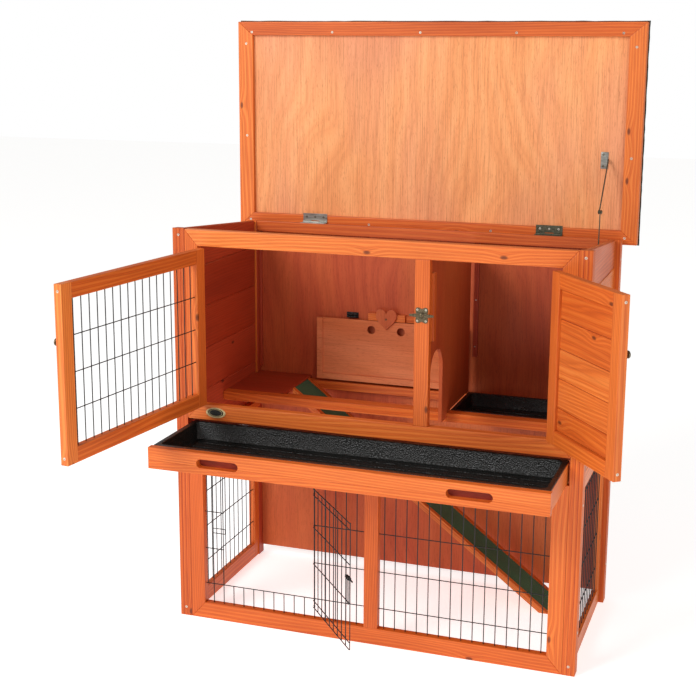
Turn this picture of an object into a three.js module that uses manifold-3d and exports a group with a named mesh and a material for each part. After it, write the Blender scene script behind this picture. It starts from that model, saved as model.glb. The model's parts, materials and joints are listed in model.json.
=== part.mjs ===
// A two-storey rabbit hutch: living floor above, wire run below, a lid that lifts at the back,
// two front doors, a pull-out cleaning drawer, a ramp with a closing flap, and a wire door in the run.
// Millimetres, +Z up, +X to the right, +Y to the back. The origin is the middle of the underside
// of the front bottom rail. Everything stands open: lid up, doors swung out, drawer drawn.

import * as THREE from 'three'
import { mergeVertices } from 'three/addons/utils/BufferGeometryUtils.js'
import Module from 'manifold-3d'

const wasm = await Module()
wasm.setup()

// ---- driving dimensions -------------------------------------------------------------------

// body
const body_width = 975
const body_depth = 454
const front_height = 964
const back_height = 926
const post_size = 30
const fit = 0.3 // gap between parts that touch inside a turned group
const past = 1 // how far a cutting tool runs past the faces it opens

// front frames
const frame_thickness = 20
const stile_width = 33
const rail_height = 38
const top_rail_drop = 2 // the flat top rail stays under the sloping lid
const centre_stile_width = 34
const centre_stile_x = 118 // middle of the upper centre stile
const middle_rail_bottom = 508
const lower_stile_width = 36
const bottom_rail_height = 41
const lower_frame_top = 446 // underside of the drawer slot
const lower_centre_stile_x = 5

// side walls and back
const side_recess = 13
const board_thickness = 12
const board_gap = 3 // V groove between boards
const board_count = 5
const skin = 0.01 // groove tools stand this far proud of the boards
const run_frame_thickness = 14
const run_frame_width = 22
const run_frame_rail = 40
const runner_ledge = 9 // how far the side's top rail reaches in to carry the drawer
const runner_height = 18
const back_panel_thickness = 6
const back_panel_foot = 22
const back_rail_height = 26
const back_rail_depth = 22

// living floor
const floor_top = 520
const floor_thickness = 9
const cross_rail_front = 213 // from the front face
const cross_rail_depth = 30
const cross_rail_height = 22
const ledge_depth = 16
const ledge_height = 22
const hole_ledge_depth = 40
const hole_ledge_height = 13
const hole_left_x = -312
const ramp_play = 1 // between the ramp and the floor board
const divider_thickness = 9
const divider_gap = 1 // between the divider and its neighbours
const divider_top_drop = 36 // below the roof line
const arch_front = 62 // from the front face
const arch_rear = 170
const arch_height = 178
const batten_width = 18
const batten_depth = 18
const batten_bottom = 738
const batten_top = 892
const tray_wall = 2.5
const tray_height = 34
const rear_tray_rim = 9
const rear_tray_rib_count = 3

// drawer
const drawer_height = 50
const drawer_front_thickness = 18
const drawer_clearance = 2
const drawer_lift = 1 // above the run's top rail
const drawer_pull = 209
const drawer_box_depth = 218
const drawer_side_thickness = 9
const drawer_side_drop = 1 // the box is this much lower than its front
const drawer_box_inset = 3 // the box is this much narrower than its front, each side
const drawer_bottom_thickness = 4
const slot_length = 100
const slot_height = 20
const slot_centre_x = 286
const tray_rim = 12
const tray_rib_count = 5
const tray_rib_height = 2.2
const tray_rib_width = 3
const tray_rib_end = 15 // from a rib's end to the tray's wall
const tray_inset = 0.5 // between the tray and the drawer's box

// doors
const door_thickness = 18
const door_member = 33
const door_gap = 2.5
const hinge_pin_proud = 6 // the pin stands this far in front of the frame
const left_door_open = 97
const right_door_open = 128
const knob_radius = 8
const knob_length = 14
const knob_neck = 3.5 // radius of the knob's stem
const knob_crown = 5 // radius of the knob's flat end
const knob_stem = 7 // from the knob's end to its stem
const knob_rim = [5, 2] // from the knob's end to both edges of its rim
const door_board_height = 64
const door_board_thickness = 8
const door_board_recess = 6 // from the door's back
const door_groove = [1, 1.5] // half width and depth

// wire meshes
const wire = 2
const wire_lap = 0.4 // how deep crossing wires are welded into each other
const wire_pitch = 26.3
const run_rows = [89, 180, 274]
const run_header_row = 372
const side_rows = [103, 195, 286, 378]
const wire_door_first = 1 // wires of the left bay that bound the wire door
const wire_door_last = 10
const wire_door_open = 130
const wire_door_rows = [70, 87, 180, 271, 351, 366]
const wire_door_clearance = 3
const wire_door_stand = 6 // the door's wires stand this far before the fixed mesh
const first_wire_inset = 21
const keeper_height = 228
const keeper_reach = [24, 8] // to the left of the doorway's edge, and into the doorway
const keeper_half = 7 // half the loop's height
const slide_radius = 2
const slide_reach = [22, 20] // to both sides of the door's second wire
const slide_stand = 7 // in front of the door's wires
const coil_radius = 4.5
const coil_span = [-6, 14]
const bail_span = [-2, 10]
const bail_drop = 64

// lid
const lid_side_overhang = 32.5
const lid_front_overhang = 46.9
const lid_side = 40
const lid_end = 34
const lid_frame_thickness = 24
const lid_panel_recess = 10
const lid_gap = 5 // room for the two hinge leaves under the closed lid
const lid_rear_overhang = 17 // behind the hinge pin
const lid_open = 90 // from level
const hinge_pin_behind = 6.5 // behind the back of the body
const felt_thickness = 2.5
const felt_overhang = 3

// butt hinges of the lid
const leaf_length = 66
const leaf_width = 22
const leaf_thickness = 1.2
const barrel_radius = 2.4
const barrel_bore = 1.5
const pin_radius = 1.2
const barrel_gap = 0.4
const knuckle_relief = 1.5 // between a barrel and the other leaf's edge
const leaf_gap = 0.1 // between a leaf and the wood it is screwed to
const hinge_x = 307

// folding stay of the lid
const stay_wall_gap = 18.5 // from the side wall to the layer between the arms
const stay_thickness = 1.6
const stay_width = 9
const stay_lid_pivot = 184 // from the lid's pin, along the lid
const stay_lug_height = 12
const stay_plate_length = 40
const stay_plate_width = 18
const stay_wall_pivot = [104, 12.705] // from the back face, and below the roof line
const stay_upper_length = 154
const stay_lower_length = 80
const stay_rivet_radius = 3
const stay_layer = 0.5 // air between the arms
const stud_radius = 1.8
const eye_radius = 2.3
const rivet_lap = [0.4, 1.6] // how far the rivet starts in its arm, and how far it stands out
const bracket_half_width = 14
const bracket_span = [-22, 6] // below and above the lower arm's pivot
const collar_extra = 1
const stud_reach = 0.2 // past the arm's face

// ramp and flap
const ramp_width = 122
const ramp_rear_gap = 18 // to the back panel
const ramp_thickness = 10
const ramp_strip_width = 14
const ramp_strip_height = 5
const ramp_felt_thickness = 3
const ramp_foot_x = 362
const ramp_top_z = 512
const flap_left_x = -290
const flap_height = 164
const flap_panel_thickness = 5
const flap_frame_thickness = 9
const flap_frame_width = 16
const flap_foot_drop = 2 // below the floor's top, so that the foot clears the ledge as it turns
const flap_pin_gap = 10 // from the flap's hinge line to the back panel
const flap_hole_radius = 11
const flap_hole_x = [-141, -61]
const flap_hole_drop = 24
const cleat_length = 100
const cleat_height = 18
const heart_size = 58
const heart_thickness = 4
const heart_x = -100
const heart_drop = 3 // its middle is this far below the cleat's
const cleat_gap = 1.5 // between the flap and the cleat
const flap_side_gap = 2

// door latch
const latch_height = 800
const latch_plate_half = [15, 18.5] // across and up
const latch_plate_thickness = 1.6
const wing_length = 56
const wing_width = 9
const wing_thickness = 2.4
const lobe_count = 4
const lobe_depth = 0.22 // share of the plate's half size
const plate_corner_count = 32

// ---- derived places -----------------------------------------------------------------------

const half = body_width / 2
const front = -frame_thickness / 2
const back = front + body_depth
const inner_half = half - post_size // between the posts
const slope = Math.atan2(front_height - back_height, body_depth)
const rad = (degrees) => (degrees * Math.PI) / 180
const roof_at = (y) => front_height - (y - front) * Math.tan(slope)

const upper_left = -inner_half + stile_width // the clear opening of the upper frame
const upper_right = inner_half - stile_width
const upper_bottom = middle_rail_bottom + rail_height
const front_frame_top = front_height - top_rail_drop
const upper_top = front_frame_top - rail_height
const lower_left = -inner_half + lower_stile_width
const lower_right = inner_half - lower_stile_width
const side_outer = half - side_recess
const side_inner = side_outer - board_thickness
const panel_front = back - back_panel_thickness
const side_bottom = lower_frame_top // the boards start where the run frames stop
const lower_top_rail_height = rail_height

// ---- materials ----------------------------------------------------------------------------

const finish = (color, roughness, metalness = 0) =>
  new THREE.MeshStandardMaterial({ color, roughness, metalness })
const pine = finish(0xd9702c, 0.5)
const plywood = finish(0xc9713a, 0.55)
const roof_felt = finish(0x2c3a30, 0.95)
const green_felt = finish(0x2f4a34, 0.95)
const black_plastic = finish(0x24211f, 0.5)
const black_wire = finish(0x23211f, 0.5, 0.7)
const zinc = finish(0xb9b8b2, 0.4, 0.9)
const antique = finish(0x75684f, 0.45, 0.8)

// ---- shape helpers ------------------------------------------------------------------------

// a box between two corners
function box(x0, x1, y0, y1, z0, z1) {
  const shape = new THREE.BoxGeometry(x1 - x0, y1 - y0, z1 - z0)
  return shape.translate((x0 + x1) / 2, (y0 + y1) / 2, (z0 + z1) / 2)
}

function outlineOf(points) {
  return new THREE.Shape(points.map(([a, b]) => new THREE.Vector2(a, b)))
}

function extruded(shape, depth, segments = 8) {
  return new THREE.ExtrudeGeometry(shape, { depth, bevelEnabled: false, curveSegments: segments })
}

// an outline in X and Z, run along Y
function alongY(shape, y0, y1, segments) {
  const turn = new THREE.Matrix4().set(1, 0, 0, 0, 0, 0, -1, y1, 0, 1, 0, 0, 0, 0, 0, 1)
  return extruded(shape, y1 - y0, segments).applyMatrix4(turn)
}

// an outline in Y and Z, run along X
function alongX(shape, x0, x1, segments) {
  const turn = new THREE.Matrix4().set(0, 0, 1, x0, 1, 0, 0, 0, 0, 1, 0, 0, 0, 0, 0, 1)
  return extruded(shape, x1 - x0, segments).applyMatrix4(turn)
}

// an outline in X and Y, run along Z
function alongZ(shape, z0, z1, segments) {
  return extruded(shape, z1 - z0, segments).translate(0, 0, z0)
}

// a cylinder between two values of X
function rod(radius, x0, x1, y, z, sides = 16) {
  const shape = new THREE.CylinderGeometry(radius, radius, x1 - x0, sides)
  return shape.rotateZ(Math.PI / 2).translate((x0 + x1) / 2, y, z)
}

function solidOf(geometry) {
  const bare = geometry.clone()
  bare.deleteAttribute('normal')
  bare.deleteAttribute('uv')
  const merged = mergeVertices(bare, 1e-4)
  const mesh = new wasm.Mesh({
    numProp: 3,
    vertProperties: new Float32Array(merged.attributes.position.array),
    triVerts: new Uint32Array(merged.index.array),
  })
  return new wasm.Manifold(mesh)
}

function geometryOf(solid) {
  const mesh = solid.getMesh()
  const geometry = new THREE.BufferGeometry()
  geometry.setAttribute('position', new THREE.BufferAttribute(mesh.vertProperties, 3))
  geometry.setIndex(new THREE.BufferAttribute(mesh.triVerts, 1))
  return geometry
}

function joined(...pieces) {
  return geometryOf(pieces.map(solidOf).reduce((a, b) => a.add(b)))
}

function cut(piece, ...tools) {
  return geometryOf(tools.map(solidOf).reduce((a, b) => a.subtract(b), solidOf(piece)))
}

const group = new THREE.Group()

function piece(parent, name, geometry, material) {
  const mesh = new THREE.Mesh(geometry.index ? geometry.toNonIndexed() : geometry, material)
  mesh.geometry.computeVertexNormals()
  mesh.name = name
  parent.add(mesh)
  return mesh
}

// upright wires in front, level wires welded on behind them, in the plane y
function wireMesh(uprights, levels, y) {
  const wires = []
  for (const [x, z0, z1] of uprights) {
    wires.push(box(x - wire / 2, x + wire / 2, y - wire + wire_lap / 2, y + wire_lap / 2, z0, z1))
  }
  for (const [z, x0, x1] of levels) {
    wires.push(box(x0, x1, y - wire_lap / 2, y + wire - wire_lap / 2, z - wire / 2, z + wire / 2))
  }
  return joined(...wires)
}

// places of wires that fill a width at about the usual pitch, with equal margins
function spread(from, to) {
  const count = Math.round((to - from) / wire_pitch)
  const step = (to - from) / count
  return Array.from({ length: count }, (_, i) => from + (i + 0.5) * step)
}

// ---- posts and front frames ---------------------------------------------------------------

function post(name, x0, y0) {
  const y1 = y0 + post_size
  const profile = outlineOf([[y0, 0], [y1, 0], [y1, roof_at(y1)], [y0, roof_at(y0)]])
  piece(group, name, alongX(profile, x0, x0 + post_size), pine)
}
post('front_left_post', -half, front)
post('front_right_post', half - post_size, front)
post('back_left_post', -half, back - post_size)
post('back_right_post', half - post_size, back - post_size)

// a member of a mitred frame: four corners of its face
function member(name, corners, parent = group, y0 = front, y1 = front + frame_thickness) {
  return piece(parent, name, alongY(outlineOf(corners), y0, y1), pine)
}

const upper = {
  outer: [-inner_half, inner_half, middle_rail_bottom, front_frame_top],
  inner: [upper_left, upper_right, upper_bottom, upper_top],
}
{
  const [ox0, ox1, oz0, oz1] = upper.outer
  const [ix0, ix1, iz0, iz1] = upper.inner
  member('top_front_rail', [[ix0, iz1], [ix1, iz1], [ox1, oz1], [ox0, oz1]])
  member('upper_left_stile', [[ox0, oz0], [ix0, iz0], [ix0, iz1], [ox0, oz1]])
  member('upper_right_stile', [[ix1, iz0], [ox1, oz0], [ox1, oz1], [ix1, iz1]])
  member('middle_front_rail', [[ox0, oz0], [ox1, oz0], [ix1, iz0], [ix0, iz0]])
}
const centre_left = centre_stile_x - centre_stile_width / 2
const centre_right = centre_stile_x + centre_stile_width / 2
const front_inside = front + frame_thickness
piece(group, 'upper_centre_stile',
  box(centre_left, centre_right, front, front_inside, upper_bottom, upper_top), pine)

const run_bottom = bottom_rail_height
const run_top = lower_frame_top - lower_top_rail_height
member('bottom_front_rail',
  [[-inner_half, 0], [inner_half, 0], [lower_right, run_bottom], [lower_left, run_bottom]])
member('lower_left_stile', [
  [-inner_half, 0],
  [lower_left, run_bottom],
  [lower_left, lower_frame_top],
  [-inner_half, lower_frame_top],
])
member('lower_right_stile', [
  [lower_right, run_bottom],
  [inner_half, 0],
  [inner_half, lower_frame_top],
  [lower_right, lower_frame_top],
])
const lower_centre_left = lower_centre_stile_x - centre_stile_width / 2
const lower_centre_right = lower_centre_stile_x + centre_stile_width / 2
piece(group, 'lower_top_rail',
  box(lower_left, lower_right, front, front_inside, run_top, lower_frame_top), pine)
piece(group, 'lower_centre_stile',
  box(lower_centre_left, lower_centre_right, front, front_inside, run_bottom, run_top), pine)

// ---- side walls ---------------------------------------------------------------------------

// boards as one wall: an outer face with V grooves
function boardWall(outer, inner, side) {
  const y0 = front + post_size
  const y1 = back - post_size
  const x0 = Math.min(side * outer, side * inner)
  const x1 = Math.max(side * outer, side * inner)
  const wall = alongX(
    outlineOf([[y0, side_bottom], [y1, side_bottom], [y1, roof_at(y1)], [y0, roof_at(y0)]]), x0, x1)
  const grooves = []
  const step = (front_height - side_bottom) / board_count
  for (let i = 1; i < board_count; i++) {
    const z = side_bottom + i * step
    for (const face of [outer + skin, inner - skin]) {
      const deep = face > (outer + inner) / 2 ? face - board_gap : face + board_gap
      const v = outlineOf([
        [side * face, z - board_gap / 2],
        [side * deep, z],
        [side * face, z + board_gap / 2],
      ])
      grooves.push(alongY(v, y0 - past, y1 + past))
    }
  }
  return cut(wall, ...grooves)
}

function sideWall(name, side) {
  piece(group, name + '_side_boards', boardWall(side_outer, side_inner, side), pine)
  const y0 = front + post_size
  const y1 = back - post_size
  const xo = side * side_outer
  const xi = side * (side_outer - run_frame_thickness)
  const x0 = Math.min(xo, xi)
  const x1 = Math.max(xo, xi)
  const in0 = y0 + run_frame_width
  const in1 = y1 - run_frame_width
  const zi0 = run_frame_rail
  const zi1 = side_bottom - run_frame_rail
  const blank = box(x0, x1, y0, y1, 0, side_bottom)
  const frame = cut(blank, box(x0 - past, x1 + past, in0, in1, zi0, zi1))
  const ledge_in = side * (side_outer - run_frame_thickness - runner_ledge)
  const ledge_x0 = Math.min(xi, ledge_in)
  const ledge_x1 = Math.max(xi, ledge_in)
  const ledge = box(ledge_x0, ledge_x1, y0, y1, side_bottom - runner_height, side_bottom)
  piece(group, name + '_run_frame', joined(frame, ledge), pine)
  // the mesh is made in X and Z and turned to lie in Y and Z
  const uprights = spread(in0, in1).map((y) => [y, zi0, zi1])
  const levels = side_rows.map((z) => [z, in0, in1])
  const mesh = wireMesh(uprights, levels, 0)
  const mid = (xo + xi) / 2
  const quarter = new THREE.Matrix4().set(0, -side, 0, mid, side, 0, 0, 0, 0, 0, 1, 0, 0, 0, 0, 1)
  if (side < 0) {
    mesh.translate(-(in0 + in1), 0, 0)
  }
  mesh.applyMatrix4(quarter)
  piece(group, name + '_run_mesh', mesh, black_wire)
}
sideWall('left', -1)
sideWall('right', 1)

// ---- back ---------------------------------------------------------------------------------

piece(group, 'back_panel', alongX(
  outlineOf([
    [panel_front, back_panel_foot],
    [back, back_panel_foot],
    [back, roof_at(back)],
    [panel_front, roof_at(panel_front)],
  ]), -inner_half, inner_half), plywood)
const back_rail_front = panel_front - back_rail_depth
piece(group, 'back_top_rail', alongX(
  outlineOf([
    [back_rail_front, roof_at(back_rail_front) - back_rail_height],
    [panel_front, roof_at(back_rail_front) - back_rail_height],
    [panel_front, roof_at(panel_front)],
    [back_rail_front, roof_at(back_rail_front)],
  ]), -inner_half, inner_half), pine)

// ---- living floor -------------------------------------------------------------------------

const floor_bottom = floor_top - floor_thickness
const cross_y0 = front + cross_rail_front
const cross_y1 = cross_y0 + cross_rail_depth
const ledge_y0 = panel_front - ledge_depth
piece(group, 'cross_rail',
  box(-side_inner, side_inner, cross_y0, cross_y1, floor_top - cross_rail_height, floor_top), pine)
piece(group, 'rear_ledge_rail',
  box(-inner_half, inner_half, ledge_y0, panel_front, floor_bottom - ledge_height, floor_bottom), pine)

// the floor board of the large compartment, left of the ramp's hole
const back_post_y0 = back - post_size
const floor_left = alongZ(outlineOf([
  [-side_inner, cross_y1],
  [hole_left_x, cross_y1],
  [hole_left_x, panel_front],
  [-inner_half, panel_front],
  [-inner_half, back_post_y0],
  [-side_inner, back_post_y0],
]), floor_bottom, floor_top)
piece(group, 'floor_board', floor_left, plywood)

// the divider stands behind the centre stile and steps over the cross rail
const divider_x0 = centre_stile_x - divider_thickness / 2
const divider_x1 = centre_stile_x + divider_thickness / 2
const divider_y0 = front_inside
const divider_top = (y) => roof_at(y) - divider_top_drop
const arch_y0 = front + arch_front
const arch_y1 = front + arch_rear
const arch_radius = (arch_y1 - arch_y0) / 2
const arch_base = middle_rail_bottom
const arch_spring = floor_top + arch_height - arch_radius
const divider_outline = new THREE.Shape()
divider_outline.moveTo(divider_y0, arch_base)
divider_outline.lineTo(arch_y0, arch_base)
divider_outline.lineTo(arch_y0, arch_spring)
divider_outline.absarc((arch_y0 + arch_y1) / 2, arch_spring, arch_radius, Math.PI, 0, true)
divider_outline.lineTo(arch_y1, arch_base)
divider_outline.lineTo(cross_y0 - divider_gap, arch_base)
divider_outline.lineTo(cross_y0 - divider_gap, floor_top + divider_gap)
divider_outline.lineTo(back_rail_front - divider_gap, floor_top + divider_gap)
divider_outline.lineTo(back_rail_front - divider_gap, divider_top(back_rail_front - divider_gap))
divider_outline.lineTo(divider_y0, divider_top(divider_y0))
piece(group, 'divider_panel', alongX(divider_outline, divider_x0, divider_x1, 10), plywood)
piece(group, 'divider_batten', box(
  divider_x1, divider_x1 + batten_depth,
  front_inside, front_inside + batten_width, batten_bottom, batten_top), pine)

// an open plastic tray with a turned-out rim, and ribs along its floor
function tray(x0, x1, y0, y1, top, height, rim, wall, ribs) {
  const body = box(x0 + rim, x1 - rim, y0 + rim, y1 - rim, top - height, top)
  const flange = box(x0, x1, y0, y1, top - wall, top)
  const inside = box(
    x0 + rim + wall, x1 - rim - wall, y0 + rim + wall, y1 - rim - wall, top - height + wall, top + past)
  let made = cut(joined(body, flange), inside)
  const floor = top - height + wall
  const pitch = (y1 - y0 - 2 * rim) / (ribs + 1)
  for (let i = 1; i <= ribs; i++) {
    const y = y0 + rim + i * pitch
    const end = rim + tray_rib_end
    made = joined(made, box(
      x0 + end, x1 - end, y - tray_rib_width / 2, y + tray_rib_width / 2,
      floor - wall / 2, floor + tray_rib_height))
  }
  return made
}
const rear_tray_x0 = divider_x1 + divider_gap
piece(group, 'rear_tray', tray(
  rear_tray_x0, side_inner - divider_gap, cross_y1 + divider_gap, back_post_y0 - divider_gap,
  floor_top, tray_height, rear_tray_rim, tray_wall, rear_tray_rib_count), black_plastic)

// ---- drawer, drawn out --------------------------------------------------------------------

const drawer_half = inner_half - drawer_clearance
const drawer_top = lower_frame_top + drawer_lift + drawer_height
const drawer_bottom = drawer_top - drawer_height
const drawer_y0 = front - drawer_pull
const drawer_y1 = drawer_y0 + drawer_front_thickness
function slotTool(x) {
  const r = slot_height / 2
  const z = (drawer_top + drawer_bottom) / 2
  const shape = new THREE.Shape()
  shape.absarc(x - slot_length / 2 + r, z, r, Math.PI / 2, Math.PI * 1.5, false)
  shape.absarc(x + slot_length / 2 - r, z, r, -Math.PI / 2, Math.PI / 2, false)
  return alongY(shape, drawer_y0 - past, drawer_y1 + past, 8)
}
piece(group, 'drawer_front', cut(
  box(-drawer_half, drawer_half, drawer_y0, drawer_y1, drawer_bottom, drawer_top),
  slotTool(-slot_centre_x), slotTool(slot_centre_x)), pine)
const box_half = drawer_half - drawer_box_inset
const box_y1 = drawer_y1 + drawer_box_depth
const drawer_side_height = drawer_height - drawer_side_drop
const box_bottom = drawer_top - drawer_side_height
const drawer_shell = box(-box_half, box_half, drawer_y1, box_y1, box_bottom, drawer_top - tray_wall)
const drawer_hollow = box(
  -box_half + drawer_side_thickness, box_half - drawer_side_thickness,
  drawer_y1 + drawer_side_thickness, box_y1 - drawer_side_thickness,
  box_bottom + drawer_bottom_thickness, drawer_top + past)
piece(group, 'drawer_box', cut(drawer_shell, drawer_hollow), pine)
const drawer_tray_height = drawer_side_height - drawer_bottom_thickness - 2 * tray_inset
piece(group, 'drawer_tray', tray(
  -box_half + 2 * tray_inset, box_half - 2 * tray_inset, drawer_y1 + tray_inset, box_y1 - tray_inset,
  drawer_top, drawer_tray_height, tray_rim, tray_wall, tray_rib_count), black_plastic)

// ---- run meshes and wire door -------------------------------------------------------------

const mesh_y = front + frame_thickness / 2
{
  const uprights = []
  const edge = []
  const first = lower_left + first_wire_inset
  for (let x = first, i = 0; x < lower_centre_left - wire; x += wire_pitch, i++) {
    edge[i] = x
    const inDoor = i > wire_door_first && i < wire_door_last
    if (inDoor) {
      uprights.push([x, run_bottom, run_rows[0] + wire / 2])
      uprights.push([x, run_header_row - wire / 2, run_top])
    } else {
      uprights.push([x, run_bottom, run_top])
    }
  }
  const door_x0 = edge[wire_door_first]
  const door_x1 = edge[wire_door_last]
  const levels = [
    [run_rows[0], lower_left, lower_centre_left],
    [run_header_row, lower_left, lower_centre_left],
  ]
  for (const z of run_rows.slice(1)) {
    levels.push([z, lower_left, door_x0 + wire / 2])
    levels.push([z, door_x1 - wire / 2, lower_centre_left])
  }
  const fixed = wireMesh(uprights, levels, mesh_y)
  // the keeper is a flat wire loop on the strip beside the door
  const keeper_x0 = door_x0 - keeper_reach[0]
  const keeper_x1 = door_x0 + keeper_reach[1]
  const keeper_y1 = mesh_y - wire + 1.5 * wire_lap
  const keeper_y0 = keeper_y1 - wire
  const loop = (x0, z0, z1) =>
    box(x0, keeper_x1, keeper_y0, keeper_y1, keeper_height + z0, keeper_height + z1)
  const keeper = [
    loop(keeper_x0, -keeper_half, wire - keeper_half),
    loop(keeper_x0, keeper_half - wire, keeper_half),
    loop(keeper_x1 - wire, -keeper_half, keeper_half),
  ]
  piece(group, 'left_bay_mesh', joined(fixed, ...keeper), black_wire)

  // the wire door hangs on its right edge; closed it lies in front of the fixed mesh
  const hang = new THREE.Group()
  hang.position.set(door_x1, mesh_y - wire_door_stand, 0)
  hang.rotation.z = rad(wire_door_open)
  group.add(hang)
  const width = door_x1 - door_x0 + wire_door_clearance
  const z0 = wire_door_rows[0]
  const z1 = wire_door_rows[wire_door_rows.length - 1]
  const bars = []
  const count = Math.round(width / wire_pitch)
  for (let i = 0; i <= count; i++) {
    const x = -(i * (width - wire)) / count
    bars.push([x, z0 - wire / 2, z1 + wire / 2])
  }
  const rows = wire_door_rows.map((z) => [z, -width + wire / 2, wire / 2])
  piece(hang, 'wire_door', wireMesh(bars, rows, 0), black_wire)
  const latch_x = -width + wire_pitch
  const slide_x0 = latch_x - slide_reach[0]
  const slide_x1 = latch_x + slide_reach[1]
  const slide = rod(slide_radius, slide_x0, slide_x1, -slide_stand, keeper_height, 10)
  const coil_x0 = latch_x + coil_span[0]
  const coil = rod(coil_radius, coil_x0, latch_x + coil_span[1], -slide_stand, keeper_height, 12)
  const bail_x0 = latch_x + bail_span[0]
  const bail_x1 = latch_x + bail_span[1]
  const bail_z0 = keeper_height - bail_drop
  const bent = (x0, x1, z1) =>
    box(x0, x1, -slide_stand - wire / 2, -slide_stand + wire / 2, bail_z0, z1)
  const bail = joined(
    bent(bail_x0, bail_x0 + wire, keeper_height),
    bent(bail_x1 - wire, bail_x1, keeper_height),
    bent(bail_x0, bail_x1, bail_z0 + wire))
  piece(hang, 'wire_door_latch', joined(slide, coil, bail), black_wire)
}
piece(group, 'right_bay_mesh', wireMesh(
  spread(lower_centre_right, lower_right).map((x) => [x, run_bottom, run_top]),
  [...run_rows, run_header_row].map((z) => [z, lower_centre_right, lower_right]), mesh_y), black_wire)

// ---- front doors --------------------------------------------------------------------------

const door_z0 = upper_bottom + door_gap
const door_z1 = upper_top - door_gap
// A door is made as it hangs closed, with its pin on the group's axis. Side is 1 when it reaches
// to the right of its pin and -1 when it reaches to the left.
function door(name, pin_x, side, width, angle) {
  const hang = new THREE.Group()
  hang.position.set(pin_x, front - hinge_pin_proud, 0)
  hang.rotation.z = rad(-side * angle)
  group.add(hang)
  const y0 = hinge_pin_proud
  const y1 = hinge_pin_proud + door_thickness
  const x = (distance) => side * (door_gap + distance)
  const block = (a, b, z0, z1, ya = y0, yb = y1) =>
    box(Math.min(x(a), x(b)), Math.max(x(a), x(b)), ya, yb, z0, z1)
  const inner = [door_member, width - door_member, door_z0 + door_member, door_z1 - door_member]
  const opening = block(inner[0], inner[1], inner[2], inner[3], y0 - past, y1 + past)
  piece(hang, name + '_frame', cut(block(0, width, door_z0, door_z1), opening), pine)
  const profile = [
    [0, 0],
    [knob_neck, 0],
    [knob_neck, knob_length - knob_stem],
    [knob_radius, knob_length - knob_rim[0]],
    [knob_radius, knob_length - knob_rim[1]],
    [knob_crown, knob_length],
    [0, knob_length],
  ]
  const knob = new THREE.LatheGeometry(profile.map(([r, h]) => new THREE.Vector2(r, h)), 16)
  knob.rotateX(Math.PI)
  knob.translate(x(width - door_member / 2), y0 - fit, latch_height)
  piece(hang, name + '_knob', knob, antique)
  return { hang, block, inner, x, y0, y1 }
}
const left_pin_x = upper_left
const left_width = centre_left - upper_left - 2 * door_gap
const left = door('left_door', left_pin_x, 1, left_width, left_door_open)
{
  const [a, b, z0, z1] = left.inner
  const y = (left.y0 + left.y1) / 2
  const uprights = spread(left.x(a + fit), left.x(b - fit)).map((x) => [x, z0 + fit, z1 - fit])
  const rows = [0.25, 0.5, 0.75].map(
    (share) => [z0 + share * (z1 - z0), left.x(a + fit), left.x(b - fit)])
  piece(left.hang, 'left_door_mesh', wireMesh(uprights, rows, y), black_wire)
}
const right_pin_x = upper_right
const right_width = upper_right - centre_right - 2 * door_gap
const right = door('right_door', right_pin_x, -1, right_width, right_door_open)
{
  const [a, b, z0, z1] = right.inner
  const y1 = right.y1 - door_board_recess
  const y0 = y1 - door_board_thickness
  const panel = right.block(a + fit, b - fit, z0 + fit, z1 - fit, y0, y1)
  const grooves = []
  const [half_width, deep] = door_groove
  const groove = (z, ya, yb) =>
    right.block(a - past, b + past, z - half_width, z + half_width, ya, yb)
  for (let z = z1 - door_board_height; z > z0 + door_board_thickness; z -= door_board_height) {
    grooves.push(groove(z, y1 - deep, y1 + past))
    grooves.push(groove(z, y0 - past, y0 + deep))
  }
  piece(right.hang, 'right_door_boards', cut(panel, ...grooves), pine)
}

// ---- door latch ---------------------------------------------------------------------------

const plate_y = front - latch_plate_thickness
const plate_points = Array.from({ length: plate_corner_count }, (_, i) => {
  const a = (i / plate_corner_count) * 2 * Math.PI
  const r = 1 + lobe_depth * Math.cos(lobe_count * (a - Math.PI / 4))
  const across = latch_plate_half[0] * r * Math.cos(a)
  const up = latch_plate_half[1] * r * Math.sin(a)
  return [centre_stile_x + across, latch_height + up]
})
piece(group, 'latch_plate', alongY(outlineOf(plate_points), plate_y, front), antique)
const wing_y1 = plate_y - fit
const wing_y0 = wing_y1 - wing_thickness
const wing_half = wing_length / 2
const wing_outline = outlineOf([
  [centre_stile_x - wing_half, latch_height - wing_width / 4],
  [centre_stile_x - wing_width, latch_height - wing_width / 2],
  [centre_stile_x + wing_width, latch_height - wing_width / 2],
  [centre_stile_x + wing_half, latch_height - wing_width / 4],
  [centre_stile_x + wing_half, latch_height + wing_width / 4],
  [centre_stile_x + wing_width, latch_height + wing_width / 2],
  [centre_stile_x - wing_width, latch_height + wing_width / 2],
  [centre_stile_x - wing_half, latch_height + wing_width / 4],
])
piece(group, 'latch_wing', alongY(wing_outline, wing_y0, wing_y1), antique)

// ---- lid ----------------------------------------------------------------------------------

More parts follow.
